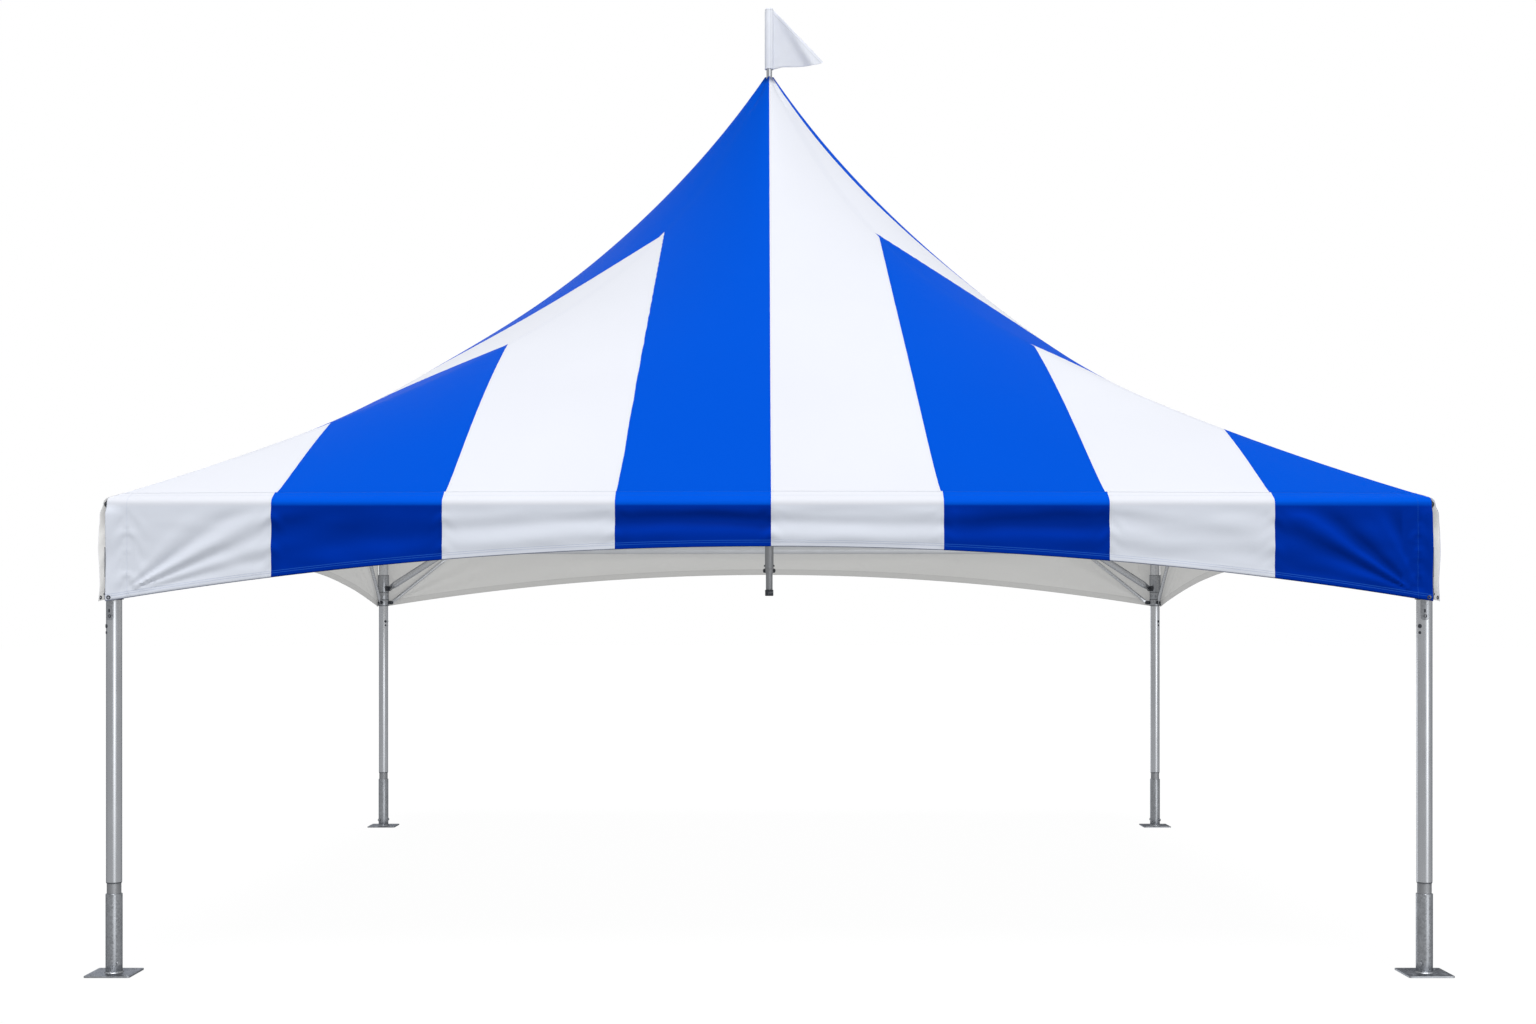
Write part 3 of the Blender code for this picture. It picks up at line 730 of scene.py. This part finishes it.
def hangOut(x, z, drop, side):               # how far the hanging cloth stands off its plane
    seed = 7.3 * side
    fans = (valance["leftFan"], valance["rightFan"])
    if side in (1, 2):
        fans = fans[::-1]
    out = fan(x, z, -1, fans[0]) + fan(x, z, 1, fans[1])
    middle = smooth((2.5 - abs(x)) / 1.2)
    amount, waves = creases["sway"]
    sway = 1 + amount * noise.noise(Vector((x * waves + seed, 0.0, 2.0)))
    amount, waves = creases["slant"]
    slant = amount * math.sin(waves * x + seed)
    for height, place, width in creases["long"]:
        out += height * middle * sway * near(drop - place - slant, width)
    height, across, down = creases["broad"]
    out += height * noise.noise(Vector((x * across + seed, z * down, 0.0)))
    height, across, down = creases["fine"]
    out += height * noise.noise(Vector((x * across - seed, z * down, 5.0)))
    seam = min(abs(x - place) for place in roof["eaveSeams"])
    height, across, down, width = creases["pucker"]
    out += height * near(seam, width) * noise.noise(Vector((x * across + seed, (z + seam) * down, 9.0)))
    height, waves, lean, width = creases["seamRipple"]
    out += height * near(seam, width) * math.sin(waves * (z + lean * seam))
    for strip in (x + valance["leftSeam"], x - valance["rightSeam"]):
        height, width = creases["endSeam"]
        out -= height * near(strip, width)
        height, waves, width = creases["endPinch"]
        out += height * near(strip, width) * math.sin(waves * z + 3 * side)
        height, waves, lean, width = creases["endRipple"]
        out += height * near(strip, width) * math.sin(waves * (z + lean * abs(strip)) + seed)
    return out


def halfLength(side):                        # the back one closes the back corners
    return valance["halfLength"] + (valance["backLonger"] if side == 2 else 0.0)


def flares(x, side):                         # the side lengths stand out at the front corners
    return side == 0 or (side - 2) * x > 0


def hangReach(x, z, side):
    bottom = valanceBottom(x)
    drop = (beamHeight - z) / (beamHeight - bottom)
    held, above = valance["hemHold"]
    out = hangOut(x, z, drop, side) * smooth(drop / valance["slackTop"])
    out *= 1 - held * smooth((above - (z - bottom)) / above)
    end = smooth((abs(x) - valance["flareAt"]) / valance["flareWidth"])
    amount, waves = valance["flareWave"]
    wave = 1 + amount * math.sin(waves * z + 2.1 * side + (1.7 if x > 0 else 0.0))
    flare = valance["flare"] if flares(x, side) else 0.0
    out = out * (1 - 0.6 * end) + flare * end * smooth(drop / valance["flareTop"]) * wave
    out += valance["hemLift"] * smooth((valance["hem"] + 0.004 - (z - bottom)) / 0.006)
    reach = beamReach + valance["skin"] + out
    return max(reach, valance["collarReach"] + valance["thick"]) if abs(x) > 2.9 else reach


def valanceSpot(column, row, side):
    columns, skin = valance["columns"], valance["skin"]
    share = 2 * column / columns - 1
    x = halfLength(side) * share * (1 + valance["crowding"] * (1 - share * share))
    start = turnStart(x / beamReach)
    row = valance["hangRows"] + valance["turnRows"] + valance["slopeRows"] - row     # 0 at the top
    if row <= valance["slopeRows"]:
        back = valance["overlap"] * (1 - row / valance["slopeRows"])
        reach = overBeam(start, skin)[0] - back * math.cos(start)
        x = math.copysign(min(abs(x), reach - 0.003), x)
        return x, reach, roofHeight(reach, min(abs(x) / reach, 1.0), skin, side), -back
    row -= valance["slopeRows"]
    if row <= valance["turnRows"]:
        angle = start + (math.pi / 2 - start) * row / valance["turnRows"]
        return x, *overBeam(angle, skin), (angle - start) * skin
    z = beamHeight + (valanceBottom(x) - beamHeight) * (row - valance["turnRows"]) / valance["hangRows"]
    return x, hangReach(x, z, side), z, math.pi / 2 * skin + beamHeight - z


valanceCloth = {parity: clothFinish("valance", parity, valanceLines) for parity in (0, 1)}


def eyeletRings(side):                       # each leans with the cloth round it
    outer, inner, half, z = [eyelet[name] for name in ("outer", "inner", "half", "z")]
    section = [(inner, -half), (outer - 0.002, -half), (outer, 0), (outer - 0.002, half), (inner, half)]
    step = 0.006
    rings = []
    for x in eyelet["places"]:
        reach = hangReach(x, z, side) - valance["thick"] / 2
        slopeX = (hangReach(x + step, z, side) - reach) / step
        slopeZ = (hangReach(x, z + step, side) - reach) / step
        lean = Vector((-slopeX, -1, -slopeZ)).to_track_quat("Z", "X").to_matrix().to_4x4()
        rings.append((spun(section, 32, True), turned(90 * side) @ moved(x, -reach, z) @ lean))
    return joined(rings)


def valancePiece(side):
    rows = valance["hangRows"] + valance["turnRows"] + valance["slopeRows"]

    def place(column, row):
        x, reach, z, _ = valanceSpot(column, row, side)
        return turned(90 * side) @ Vector((x, -reach, z))

    bm, spots = gridOf(valance["columns"], rows, place)
    stripes = bm.loops.layers.uv["stripes"]
    cut = bm.loops.layers.uv["cut"]
    hem, end, ridgeLight = [bm.verts.layers.float[name] for name in sheetValues]
    whole = {vert: valanceSpot(*spots[vert], side) for vert in bm.verts}
    for vert, (x, reach, z, _) in whole.items():
        toEnd = halfLength(side) - abs(x)
        vert[hem] = z - valanceBottom(x)
        # how far to a flaring end, for the painted light on the flaps' inner side
        vert[end] = toEnd if flares(x, side) else 1.0
        # how far the cloth stands out, for the painted highlight and shade on the blue folds
        out = valance["shading"] * (reach - beamReach - valance["skin"]) if z < beamHeight else 0
        vert[ridgeLight] = 1 + min(max(out, -0.6), 0.8) * smooth(toEnd / 0.1)
    for poly in bm.faces:
        for loop in poly.loops:
            x, _, _, down = whole[loop.vert]
            loop[stripes].uv = (stripeAt(side, roof["seamReach"], roof["seamFoot"], x), 1.0)
            loop[cut].uv = (x, down + valance["overlap"])
    area = sum(poly.calc_area() for poly in bm.faces)
    name = sides[side]
    stands = [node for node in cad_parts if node.startswith(f"valance_{name}_")]
    finishes = [valanceCloth[side % 2], insideCloth]
    piece = showPiece(f"valance_cloth_{name}", bm, finishes, stands, sharp=60)
    eyelets = showPiece(f"valance_eyelets_{name}", eyeletRings(side), [dark])
    sewn(piece, valance["thick"])


for side in range(4):
    valancePiece(side)
print("valances made")


# Corner metalwork; in a corner's own frame +X and +Y lead inwards
foot = {
    "plate": 0.21, "thick": 0.008, "hole": 0.0085, "holeIn": 0.074, "sleeve": 0.0375, "sleeveTop": 0.37,
    "chamfer": 0.002, "inner": 0.0322, "innerTop": 0.62, "weld": 0.0065, "boltAt": 0.052,
}
leg = {"outer": 0.0355, "bore": 0.0325, "low": 0.42, "high": 2.06, "pinAt": 1.668}
bracket = {
    "low": 1.725, "high": 1.965, "radius": 0.040, "collar": 0.042, "footHeight": 0.05,
    "headHeight": 0.135, "kneeZ": 1.75, "kneeReach": 0.062, "rafterZ": 1.86, "rafterReach": 0.075,
}
kneeFork = {"tang": 0.005, "cheek": 0.005, "ear": 0.014, "bolt": 0.005}
rafterFork = {"tang": 0.008, "cheek": 0.006, "ear": 0.020, "bolt": 0.007}
play = 0.0003                                # clearance between a fork and what it holds


def cheekParts(outline, fork, reach, z, place):         # two cheeks and the bolt through them
    offset = fork["tang"] / 2 + play + fork["cheek"] / 2
    grip = fork["tang"] + 2 * play + 2 * fork["cheek"]
    parts = [(plate(outline, fork["cheek"], 0.0008), place @ moved(0, y, 0)) for y in (-offset, offset)]
    return parts + [(bolt(fork["bolt"], grip), place @ moved(reach, 0, z))]


def forkParts(start, reach, z, fork, facing, shift=0.0):
    outline = [(start, z + fork["ear"]), (start, z - fork["ear"])]
    outline += roundEnd(reach, z, fork["ear"], -math.pi / 2)
    return cheekParts(outline, fork, reach, z, turned(facing) @ moved(0, shift, 0))


def footPlate():                             # four quarters, each with its anchor hole
    bm = bmesh.new()
    quarter = foot["plate"] / 4
    for signX in (-1, 1):
        for signY in (-1, 1):
            square = bmesh.ops.create_circle(bm, segments=24, radius=1)["verts"]
            for vert in square:
                reach = max(abs(vert.co.x), abs(vert.co.y))
                vert.co = vert.co / reach * quarter + Vector((signX * quarter, signY * quarter, 0))
            hole = bmesh.ops.create_circle(bm, segments=24, radius=foot["hole"])["verts"]
            bmesh.ops.translate(bm, verts=hole, vec=(signX * foot["holeIn"], signY * foot["holeIn"], 0))
            edges = {edge for vert in square + hole for edge in vert.link_edges}
            bmesh.ops.bridge_loops(bm, edges=list(edges))
    merged(bm)
    bmesh.ops.translate(bm, verts=pushed(bm, bm.faces[:]), vec=(0, 0, foot["thick"]))
    facedOut(bm)
    half = foot["plate"] / 2 - 0.0001
    posts = [edge for edge in bm.edges if abs(edge.verts[0].co.z - edge.verts[1].co.z) > 0.001
             and all(min(abs(vert.co.x), abs(vert.co.y)) > half for vert in edge.verts)]
    bmesh.ops.bevel(bm, geom=posts, offset=0.010, affect="EDGES", segments=5, profile=0.5, material=-1)
    return soften(bm, 0.0008, 2, 60)


def weldBead(radius, z, size):
    profile = [(radius - 0.002, z), (radius + size, z), (radius + size * 0.62, z + size * 0.42),
               (radius + size * 0.3, z + size * 0.72), (radius - 0.002, z + size * 1.15)]
    bead = spun(profile, 120, True)
    for vert in bead.verts:                  # ripples left by the weld pool
        turn = math.atan2(vert.co.y, vert.co.x)
        swell = 1 + 0.012 * math.sin(40 * turn)
        vert.co = Vector((vert.co.x * swell, vert.co.y * swell, vert.co.z))
    return bead


def footPiece(name, place):
    thick, radius, inner = foot["thick"], foot["sleeve"], foot["inner"]
    top = foot["sleeveTop"]
    sleeve = [(inner, thick), (radius, thick), (radius, top), (inner, top + foot["chamfer"])]
    seam = plate([(-0.0012, thick), (0.0012, thick), (0.0012, top), (-0.0012, top)], 0.0014)
    parts = [
        (footPlate(), None),
        (spun(sleeve, 64, True, 0.0006), None),
        (tube(inner, inner - 0.003, thick, foot["innerTop"], 64), None, 1),
        (weldBead(radius, thick, foot["weld"]), None),
        (seam, turned(35) @ moved(0, -radius, 0)),
        (bolt(0.0055, 2 * radius + 0.001), turned(45) @ moved(0, 0, foot["boltAt"])),
    ]
    showPiece(f"base_foot_{name}", joined(parts), [zinc, mastMetal], [f"foot_{name}"],
              matrix=place)


def clipRing(radius, wire):
    steps = 10
    profile = [(radius + wire * math.cos(math.tau * step / steps), wire * math.sin(math.tau * step / steps))
               for step in range(steps)]
    return spun(profile, 32, True)


def legPiece(name, place):
    # the thin dark ring at the tube's lower end is painted shade under the leg's end
    parts = [(tube(leg["outer"], leg["bore"], leg["low"] + 0.004, leg["high"], 72, 0.0008), None),
             (tube(leg["outer"] - 0.0006, leg["bore"], leg["low"], leg["low"] + 0.004, 72, 0), None, 1)]
    showPiece(f"leg_tube_{name}", joined(parts), [upright, dark], [f"leg_{name}"],
              matrix=place)


def tongue(radius, thick, low, high, spread):           # a plate bent round the leg
    def place(column, row):
        angle = math.radians(spread) * (column / 12 * 2 - 1)
        tip = low + 0.012 * (column / 6 - 1) ** 4
        return Vector((radius * math.sin(angle), -radius * math.cos(angle), tip + (high - tip) * row / 6))

    bm, _ = gridOf(12, 6, place)
    growth = 1 + thick / radius
    bmesh.ops.scale(bm, verts=pushed(bm, bm.faces[:]), vec=(growth, growth, 1))
    return soften(facedOut(bm), 0.0005, 1)


catch = {                                    # heights are given from the pin in the leg
    "thick": 0.002, "low": -0.037, "spread": 31, "slotAt": 0.0055, "ring": 0.0062, "wire": 0.0016,
    "ringAt": (0.0015, -0.0190), "pin": 0.0032, "pinAt": (0.0005, -0.0185),
    "rivets": ((-0.065, 0.010), (-0.095, 0.007)), "rivetTurns": (-38, 52), "rivet": (-0.001, 0.0016),
    "frontTurn": -15, "backTurn": 165,
}


def legPinPiece(name, place, facing):        # the catch under the sleeve, with its spring clip
    out, pinAt = leg["outer"] + play, leg["pinAt"]
    low, high = pinAt + catch["low"], bracket["low"] + 0.004
    slot = roundEnd(0, 0.004, 0.0042, 0) + roundEnd(0, -0.004, 0.0042, math.pi)
    (ringX, ringZ), (pinX, pinZ) = catch["ringAt"], catch["pinAt"]
    parts = [
        (tongue(out, catch["thick"], low, high, catch["spread"]), None, 0),
        (plate(slot, 0.003, 0.0005), moved(0, -out - 0.0022, pinAt + catch["slotAt"]), 1),
        (clipRing(catch["ring"], catch["wire"]), moved(ringX, -out - 0.0035, pinAt + ringZ) @ layAlongY, 1),
        (rod(catch["pin"], 0, 0.0045, 24), moved(pinX, -out - 0.0045, pinAt + pinZ) @ layAlongY, 2),
    ]
    for turn in catch["rivetTurns"]:
        for z, radius in catch["rivets"]:
            spot = turned(turn) @ moved(-leg["outer"], 0, pinAt + z) @ layAlongX
            parts.append((rod(radius, *catch["rivet"], 24), spot @ Matrix.Rotation(math.pi, 4, "X"), 1))
    showPiece(f"leg_pin_{name}", joined(parts), [zinc, dark, bolted],
              matrix=place @ turned(facing))


def bracketPiece(name, place):
    bore = leg["outer"] + play
    footTop = bracket["low"] + bracket["footHeight"]
    headLow = bracket["high"] - bracket["headHeight"]
    radius, collar = bracket["radius"], bracket["collar"]
    root = bore + 0.002
    parts = [(tube(radius, bore, footTop - 0.010, headLow + 0.010, 72), None, 1)]
    for low, high in ((bracket["low"], footTop), (headLow, bracket["high"])):
        parts.append((tube(collar, bore, low, high, 72, 0.0012), None, 1))
        parts.append((tube(collar + 0.0004, collar - 0.001, low, low + 0.003, 72, 0), None))
        parts.append((tube(collar + 0.0004, collar - 0.001, high - 0.003, high, 72, 0), None))
    parts += forkParts(root, bracket["kneeReach"], bracket["kneeZ"], kneeFork, 0, -beamOffset)
    parts += forkParts(root, bracket["kneeReach"], bracket["kneeZ"], kneeFork, 90, beamOffset)
    parts += forkParts(root, bracket["rafterReach"], bracket["rafterZ"], rafterFork, 45)
    for facing in (0, 90):
        parts.append((rod(0.006, collar - 0.001, collar + 0.005, 6),
                      turned(facing + 180) @ moved(0, 0, bracket["low"] + 0.025) @ layAlongX))
    showPiece(f"leg_sleeve_{name}", joined(parts), [dark, zinc], [f"leg_bracket_{name}"],
              matrix=place)


casting = {
    "radius": 0.035, "plug": 0.13, "shoulder": 0.012, "dome": 0.034, "collar": 0.046, "inset": 0.0005,
    "spigot": 0.16, "beamBore": 0.027,
}


def castingPiece(name, place):
    base = leg["high"] - casting["plug"]
    fit = leg["bore"] - play
    shoulder = beamHeight - casting["shoulder"]
    profile = [(0, base), (fit, base), (fit, leg["high"] + play), (casting["radius"], leg["high"] + play)]
    profile += [(casting["radius"] * math.cos(turn), shoulder + casting["dome"] * math.sin(turn))
                for turn in (math.pi / 2 * step / 10 for step in range(10))]
    profile.append((0, shoulder + casting["dome"]))
    reach = beamRadius - casting["inset"]
    spigot = casting["beamBore"] - play
    arm = [(0, 0), (reach, 0), (reach, casting["collar"]), (spigot, casting["collar"]),
           (spigot, casting["spigot"]), (0, casting["spigot"])]
    parts = [(spun(profile, 64), None)]
    for facing, shift in ((0, -beamOffset), (90, beamOffset)):
        lie = turned(facing) @ moved(0, shift, beamHeight) @ layAlongX
        parts.append((spun(arm, 48, False, 0.0008), lie))
        stub = turned(facing + 180) @ moved(casting["radius"] - 0.004, 0, beamHeight + 0.002) @ layAlongX
        parts.append((rod(0.011, 0, 0.010, 32, 0.001), stub))
        parts.append((clipRing(0.0075, 0.0016), stub @ moved(0, 0, 0.0104)))
    showPiece(f"corner_casting_{name}", joined(parts), [dark], [f"corner_fitting_{name}"],
              matrix=place)


# Bars pressed flat at both ends, round their bolts
knee = {"span": 0.50, "lugDrop": 0.058, "lugRoot": 0.018, "radius": 0.0125, "neck": 0.035}
rafter = {"radius": 0.024, "neck": 0.06}
hub = {"z": 3.30, "radius": 0.040, "halfHeight": 0.06, "reach": 0.09}
lugZ = beamHeight - knee["lugDrop"]


def pressedBar(length, radius, fork, neck, around=32):
    ear, flat = fork["ear"] - 0.002, fork["tang"] / 2
    full = neck + radius * 2.2               # where the bar is round again
    first = [-ear * math.cos(math.pi / 2 * step / 8) for step in range(8)]
    first += [full * step / 14 for step in range(15)]
    spots = first + [length - spot for spot in reversed(first)]

    def place(column, row):
        along = spots[column]
        inner = min(along, length - along)
        half = ear * math.sqrt(max(1 - (min(inner, 0) / ear) ** 2, 0.01))
        bulge = smooth((inner - ear * 0.9) / (full - ear * 0.9))
        tall = half + (radius - half) * bulge
        deep = flat + (radius - flat) * bulge
        turn = math.tau * row / around
        power = 0.35 + 0.65 * bulge
        y = math.copysign(abs(math.cos(turn)) ** power, math.cos(turn)) * deep
        z = math.copysign(abs(math.sin(turn)) ** (0.75 + 0.25 * bulge), math.sin(turn)) * tall
        return Vector((along, y, z))

    bm = merged(gridOf(len(spots) - 1, around, place)[0])
    bmesh.ops.holes_fill(bm, edges=[edge for edge in bm.edges if edge.is_boundary])
    return facedOut(bm)


def barBetween(low, high, radius, fork, neck):
    run = Vector(high) - Vector(low)
    tilt = Matrix.Rotation(-math.atan2(run.z, run.x), 4, "Y")
    return pressedBar(run.length, radius, fork, neck), moved(*low) @ tilt


def bracePieces(name, place):
    firstOn, secondOn = name.split("_")
    if name in ("front_right", "back_left"):
        firstOn, secondOn = secondOn, firstOn
    for side, facing, shift in ((firstOn, 0, -beamOffset), (secondOn, 90, beamOffset)):
        low = (bracket["kneeReach"], 0, bracket["kneeZ"])
        bm, lie = barBetween(low, (knee["span"], 0, lugZ), knee["radius"], kneeFork, knee["neck"])
        where = f"{name}_on_{side}"
        showPiece(f"brace_{where}", bm, [sloping], [f"knee_brace_{where}"],
                  matrix=place @ turned(facing) @ moved(0, shift, 0) @ lie)


def rafterPiece(name, place):
    low = (bracket["rafterReach"], 0, bracket["rafterZ"])
    high = (legReach * math.sqrt(2) - hub["reach"], 0, hub["z"])
    bm, lie = barBetween(low, high, rafter["radius"], rafterFork, rafter["neck"])
    showPiece(f"rafter_bar_{name}", bm, [sloping], [f"hip_rafter_{name}"],
              matrix=place @ turned(45) @ lie)


def beamPiece(side):
    half = legReach - casting["collar"] - play
    parts = [(tube(beamRadius, casting["beamBore"], -half, half, 64, 0.0008),
              moved(0, 0, beamHeight) @ layAlongX)]
    rootZ = beamHeight - beamRadius + 0.002
    for end in (-1, 1):
        spot = end * (legReach - knee["span"])
        outline = [(spot + knee["lugRoot"], rootZ), (spot - knee["lugRoot"], rootZ)]
        outline += roundEnd(spot, lugZ, kneeFork["ear"], math.pi)
        parts += cheekParts(outline, kneeFork, spot, lugZ, Matrix())
    name = sides[side]
    finish = crossways if side % 2 == 0 else lengthways
    showPiece(f"beam_tube_{name}", joined(parts), [finish], [f"eave_beam_{name}"],
              matrix=turned(90 * side) @ moved(0, -beamReach, 0))


for name, (signX, signY, angle) in corners.items():
    place = moved(signX * legReach, signY * legReach, 0) @ turned(angle)
    footPiece(name, place)
    legPiece(name, place)
    frontal = moved(signX * legReach, signY * legReach, 0)
    legPinPiece(name, frontal, catch["frontTurn" if signY < 0 else "backTurn"])
    bracketPiece(name, place)
    castingPiece(name, place)
    bracePieces(name, place)
    rafterPiece(name, place)
for side in range(4):
    beamPiece(side)
print("legs, brackets, braces, rafters and beams made")


# Crown: hub, mast, peak and flag pole
mast = {
    "outer": 0.021, "bore": 0.018, "low": 1.80, "high": 4.90, "capLow": 1.772, "capHigh": 1.81,
    "capRadius": 0.026, "sheath": 0.0268, "plug": 0.05,
}
clamp = {"z": 1.929, "radius": 0.0282, "half": 0.0145, "root": 0.027, "lug": 0.038, "apart": 0.006,
         "lugThick": 0.007, "bolt": 0.0030, "boltAt": 0.0335, "grip": 0.019, "stub": 0.0055}
pole = {"radius": 0.0175, "low": 4.9453, "high": 5.412, "capTop": 4.995, "capRadius": 0.0257}


def crownPieces():
    bore = mast["outer"] + play
    low, high = hub["z"] - hub["halfHeight"], hub["z"] + hub["halfHeight"]
    parts = [(tube(hub["radius"], bore, low, high, 64, 0.0015), None)]
    for facing in (45, 135, 225, 315):
        parts += forkParts(hub["radius"] - 0.003, hub["reach"], hub["z"], rafterFork, facing)
    for z in (low + 0.012, high - 0.012):
        parts.append((bolt(0.006, 2 * hub["radius"]), moved(0, 0, z)))
    showPiece("hub_sleeve", joined(parts), [zinc], ["crown_hub"])
    ringLow, ringHigh = clamp["z"] - clamp["half"], clamp["z"] + clamp["half"]
    parts = [(tube(mast["outer"], mast["bore"], mast["low"], mast["high"], 48, 0.0005), None),
             (tube(mast["sheath"], bore, ringLow + 0.001, low - play, 48, 0.001), None)]
    showPiece("mast_tube", joined(parts), [mastMetal], ["mast"])
    parts = [(tube(clamp["radius"], mast["sheath"] + play, ringLow, ringHigh, 48, 0.0006), None, 1)]
    root, lug = clamp["root"], clamp["lug"]
    outline = [(root, ringLow + 0.001), (lug - 0.002, ringLow + 0.003), (lug, ringLow + 0.008),
               (lug, ringHigh - 0.004), (root, ringHigh - 0.001)]
    for facing in (0, 180):
        for cheek in (-clamp["apart"], clamp["apart"]):
            parts.append((plate(outline, clamp["lugThick"], 0.001), turned(facing) @ moved(0, cheek, 0)))
        spot = turned(facing) @ moved(clamp["boltAt"], 0, clamp["z"])
        parts.append((bolt(clamp["bolt"], clamp["grip"]), spot))
        stub = turned(facing) @ moved(0, 0, ringHigh + 0.016) @ layAlongX
        parts.append((rod(clamp["stub"], root - 0.001, root + 0.006, 20), stub))
    showPiece("mast_clamp", joined(parts), [dark, mastMetal], ["mast_collar"])
    cap, lip, capLow, capHigh = mast["capRadius"], 0.003, mast["capLow"], mast["capHigh"]
    seat = mast["low"] - play
    profile = [(0, capLow), (cap - lip, capLow), (cap, capLow + lip), (cap, capHigh), (bore, capHigh),
               (bore, seat), (0, seat)]
    showPiece("mast_foot_cap", spun(profile, 48, False, 0.0008), [dark], ["mast_end_cap"])
    plug, top, rim = mast["bore"] - play, mast["high"] + play, pole["capRadius"] - 0.004
    socket, seat, low = pole["radius"] + play, pole["low"] - play, mast["high"] - mast["plug"]
    profile = [(0, low), (plug, low), (plug, top), (rim, top), (rim, pole["capTop"] - 0.004),
               (socket, pole["capTop"]), (socket, seat), (0, seat)]
    showPiece("peak_socket", spun(profile, 48, False, 0.0004), [zinc], ["peak_cap"])
    staff = rod(pole["radius"], pole["low"], pole["high"], 48)
    showPiece("pole_tube", staff, [upright], ["flag_pole"])


crownPieces()
print("crown made")


# Pennant: a sleeve that turns on the pole, and the flag sewn to it
pennant = {
    "bore": 0.0205, "sleeve": 0.0275, "low": 5.046, "high": 5.430, "length": 0.335, "thick": 0.0012,
    "rows": 40, "columns": 60, "root": 0.0245, "topStart": 5.418, "fall": 1.052, "slant": 0.69,
    "colour": (0.78, 0.80, 0.85), "hem": 0.017, "halfLine": 0.0018, "hood": 5.411,
    "sleeveLines": (0.008, 0.018),
}


def pennantPlace(column, row):
    along = column / pennant["columns"]
    root, length = pennant["root"], pennant["length"]
    x = root + (length - root) * (0.75 * along + 0.25 * math.sin(math.pi / 2 * along))
    share = (x - root) / (length - root)
    low = pennant["low"] + 0.001 + 0.0135 * smooth(share / 0.22) + 0.004 * share + 0.024 * share ** 8
    high = pennant["topStart"] - pennant["fall"] * (x - root) - 0.004 * share ** 30
    high = max(high, low + 0.002)
    z = low + (high - low) * row / pennant["rows"]
    fold = near((x - 0.129) * 0.846 + (z - 5.291) * 0.534, 0.030)         # the soft crease across it
    sway = 0.013 * math.sin(5.2 * share + 6.0 * (z - 5.05)) - 0.010 * fold
    return Vector((x, share * sway - 0.006 * fold * smooth(share / 0.2), z))


def pennantPieces():
    bm, spots = gridOf(pennant["columns"], pennant["rows"], pennantPlace)
    cut = bm.loops.layers.uv["cut"]
    for poly in bm.faces:
        for loop in poly.loops:
            loop[cut].uv = (loop.vert.co.x, loop.vert.co.z)
    area = sum(poly.calc_area() for poly in bm.faces)
    finishes = [pennantCloth, pennantCloth]
    flag = showPiece("pennant_flag", bm, finishes, ["pennant"], "pennant", 60)
    low, high, bore, sleeve = pennant["low"], pennant["high"], pennant["bore"], pennant["sleeve"]
    seat = pole["high"] + play
    profile = [(bore, low), (sleeve, low), (sleeve, high - 0.016), (sleeve * 0.86, high - 0.007),
               (sleeve * 0.5, high - 0.001), (0, high), (0, seat), (bore, seat)]
    hood = spun(profile, 40, True)
    hood = showPiece("pennant_sleeve", hood, [pennantCloth], (), "pennant", 60)
    sewn(flag, pennant["thick"])


pennantCloth = pennantFinish()
pennantPieces()
print("pennant made")


# Floor and light
studio = {
    "floorRadius": 90, "floorDrop": 0.001, "floorTone": 0.030, "floorGlow": 0.97,
    "low": 0.50, "high": 0.58, "gap": 0.10, "screen": 2.0, "screenAt": 0.645, "screenHalf": 0.13,
    "tint": (0.97, 0.985, 1, 1), "key": 2.2, "spread": 20, "tilt": (28, 0, 4),
}


def floorPiece():
    bm = bmesh.new()
    bmesh.ops.create_circle(bm, cap_ends=True, segments=96, radius=studio["floorRadius"])
    bmesh.ops.translate(bm, verts=bm.verts[:], vec=(0, 0, -studio["floorDrop"]))
    meshData = bpy.data.meshes.new("floor")
    facedOut(bm).to_mesh(meshData)
    bm.free()
    floor = bpy.data.objects.new("floor", meshData)
    bpy.context.scene.collection.objects.link(floor)
    made = Finish("pale_floor", Roughness=0.9, Specular_IOR_Level=0.0)
    tone = studio["floorTone"] + 0.004 * made.noise(made.place(), 0.35, 2.0)
    made.feed("Base Color", made.vector(tone, tone, tone))
    made.shader.inputs["Emission Color"].default_value = (1, 1, 1, 1)
    made.shader.inputs["Emission Strength"].default_value = studio["floorGlow"]
    meshData.materials.append(made.material)
    floor.visible_diffuse = False            # the sky below the horizon lights the tent instead
    floor.visible_glossy = False


def studioSky():
    world = bpy.data.worlds.new("studio")
    bpy.context.scene.world = world
    world.use_nodes = True
    tree = world.node_tree
    tree.nodes.clear()
    sky = Sums(tree)
    x, y, z = sky.parts(sky.node("ShaderNodeTexCoord", output="Generated"))
    turn = y.sum("ARCTAN2", x) / math.pi                        # a bright screen in front, one behind
    screen = (1.0 - abs((turn % 1.0) - studio["screenAt"]) / studio["screenHalf"]).clamped()
    level = 1.0 - (abs(z) / 0.75).clamped()
    light = studio["low"] + (studio["high"] - studio["low"]) * ((z + 0.1) / 1.1).clamped()
    light = light - studio["gap"] * level + studio["screen"] * screen * level
    soft = sky.node("ShaderNodeBackground", None, {"Color": studio["tint"], "Strength": light})
    plain = sky.node("ShaderNodeBackground", None, {"Color": (1, 1, 1, 1), "Strength": 1.0})
    seen = sky.node("ShaderNodeLightPath", output="Is Camera Ray")
    shown = sky.node("ShaderNodeMixShader", None, {0: seen, 1: soft, 2: plain})
    tree.links.new(shown.socket, tree.nodes.new("ShaderNodeOutputWorld").inputs["Surface"])


def softLamp(name, power, spread, tilt):
    data = bpy.data.lights.new(name, "SUN")
    data.energy = power
    data.angle = math.radians(spread)
    lamp = bpy.data.objects.new(name, data)
    lamp.rotation_euler = [math.radians(angle) for angle in tilt]
    bpy.context.scene.collection.objects.link(lamp)


floorPiece()
studioSky()
softLamp("key", studio["key"], studio["spread"], studio["tilt"])
print("floor and light made")
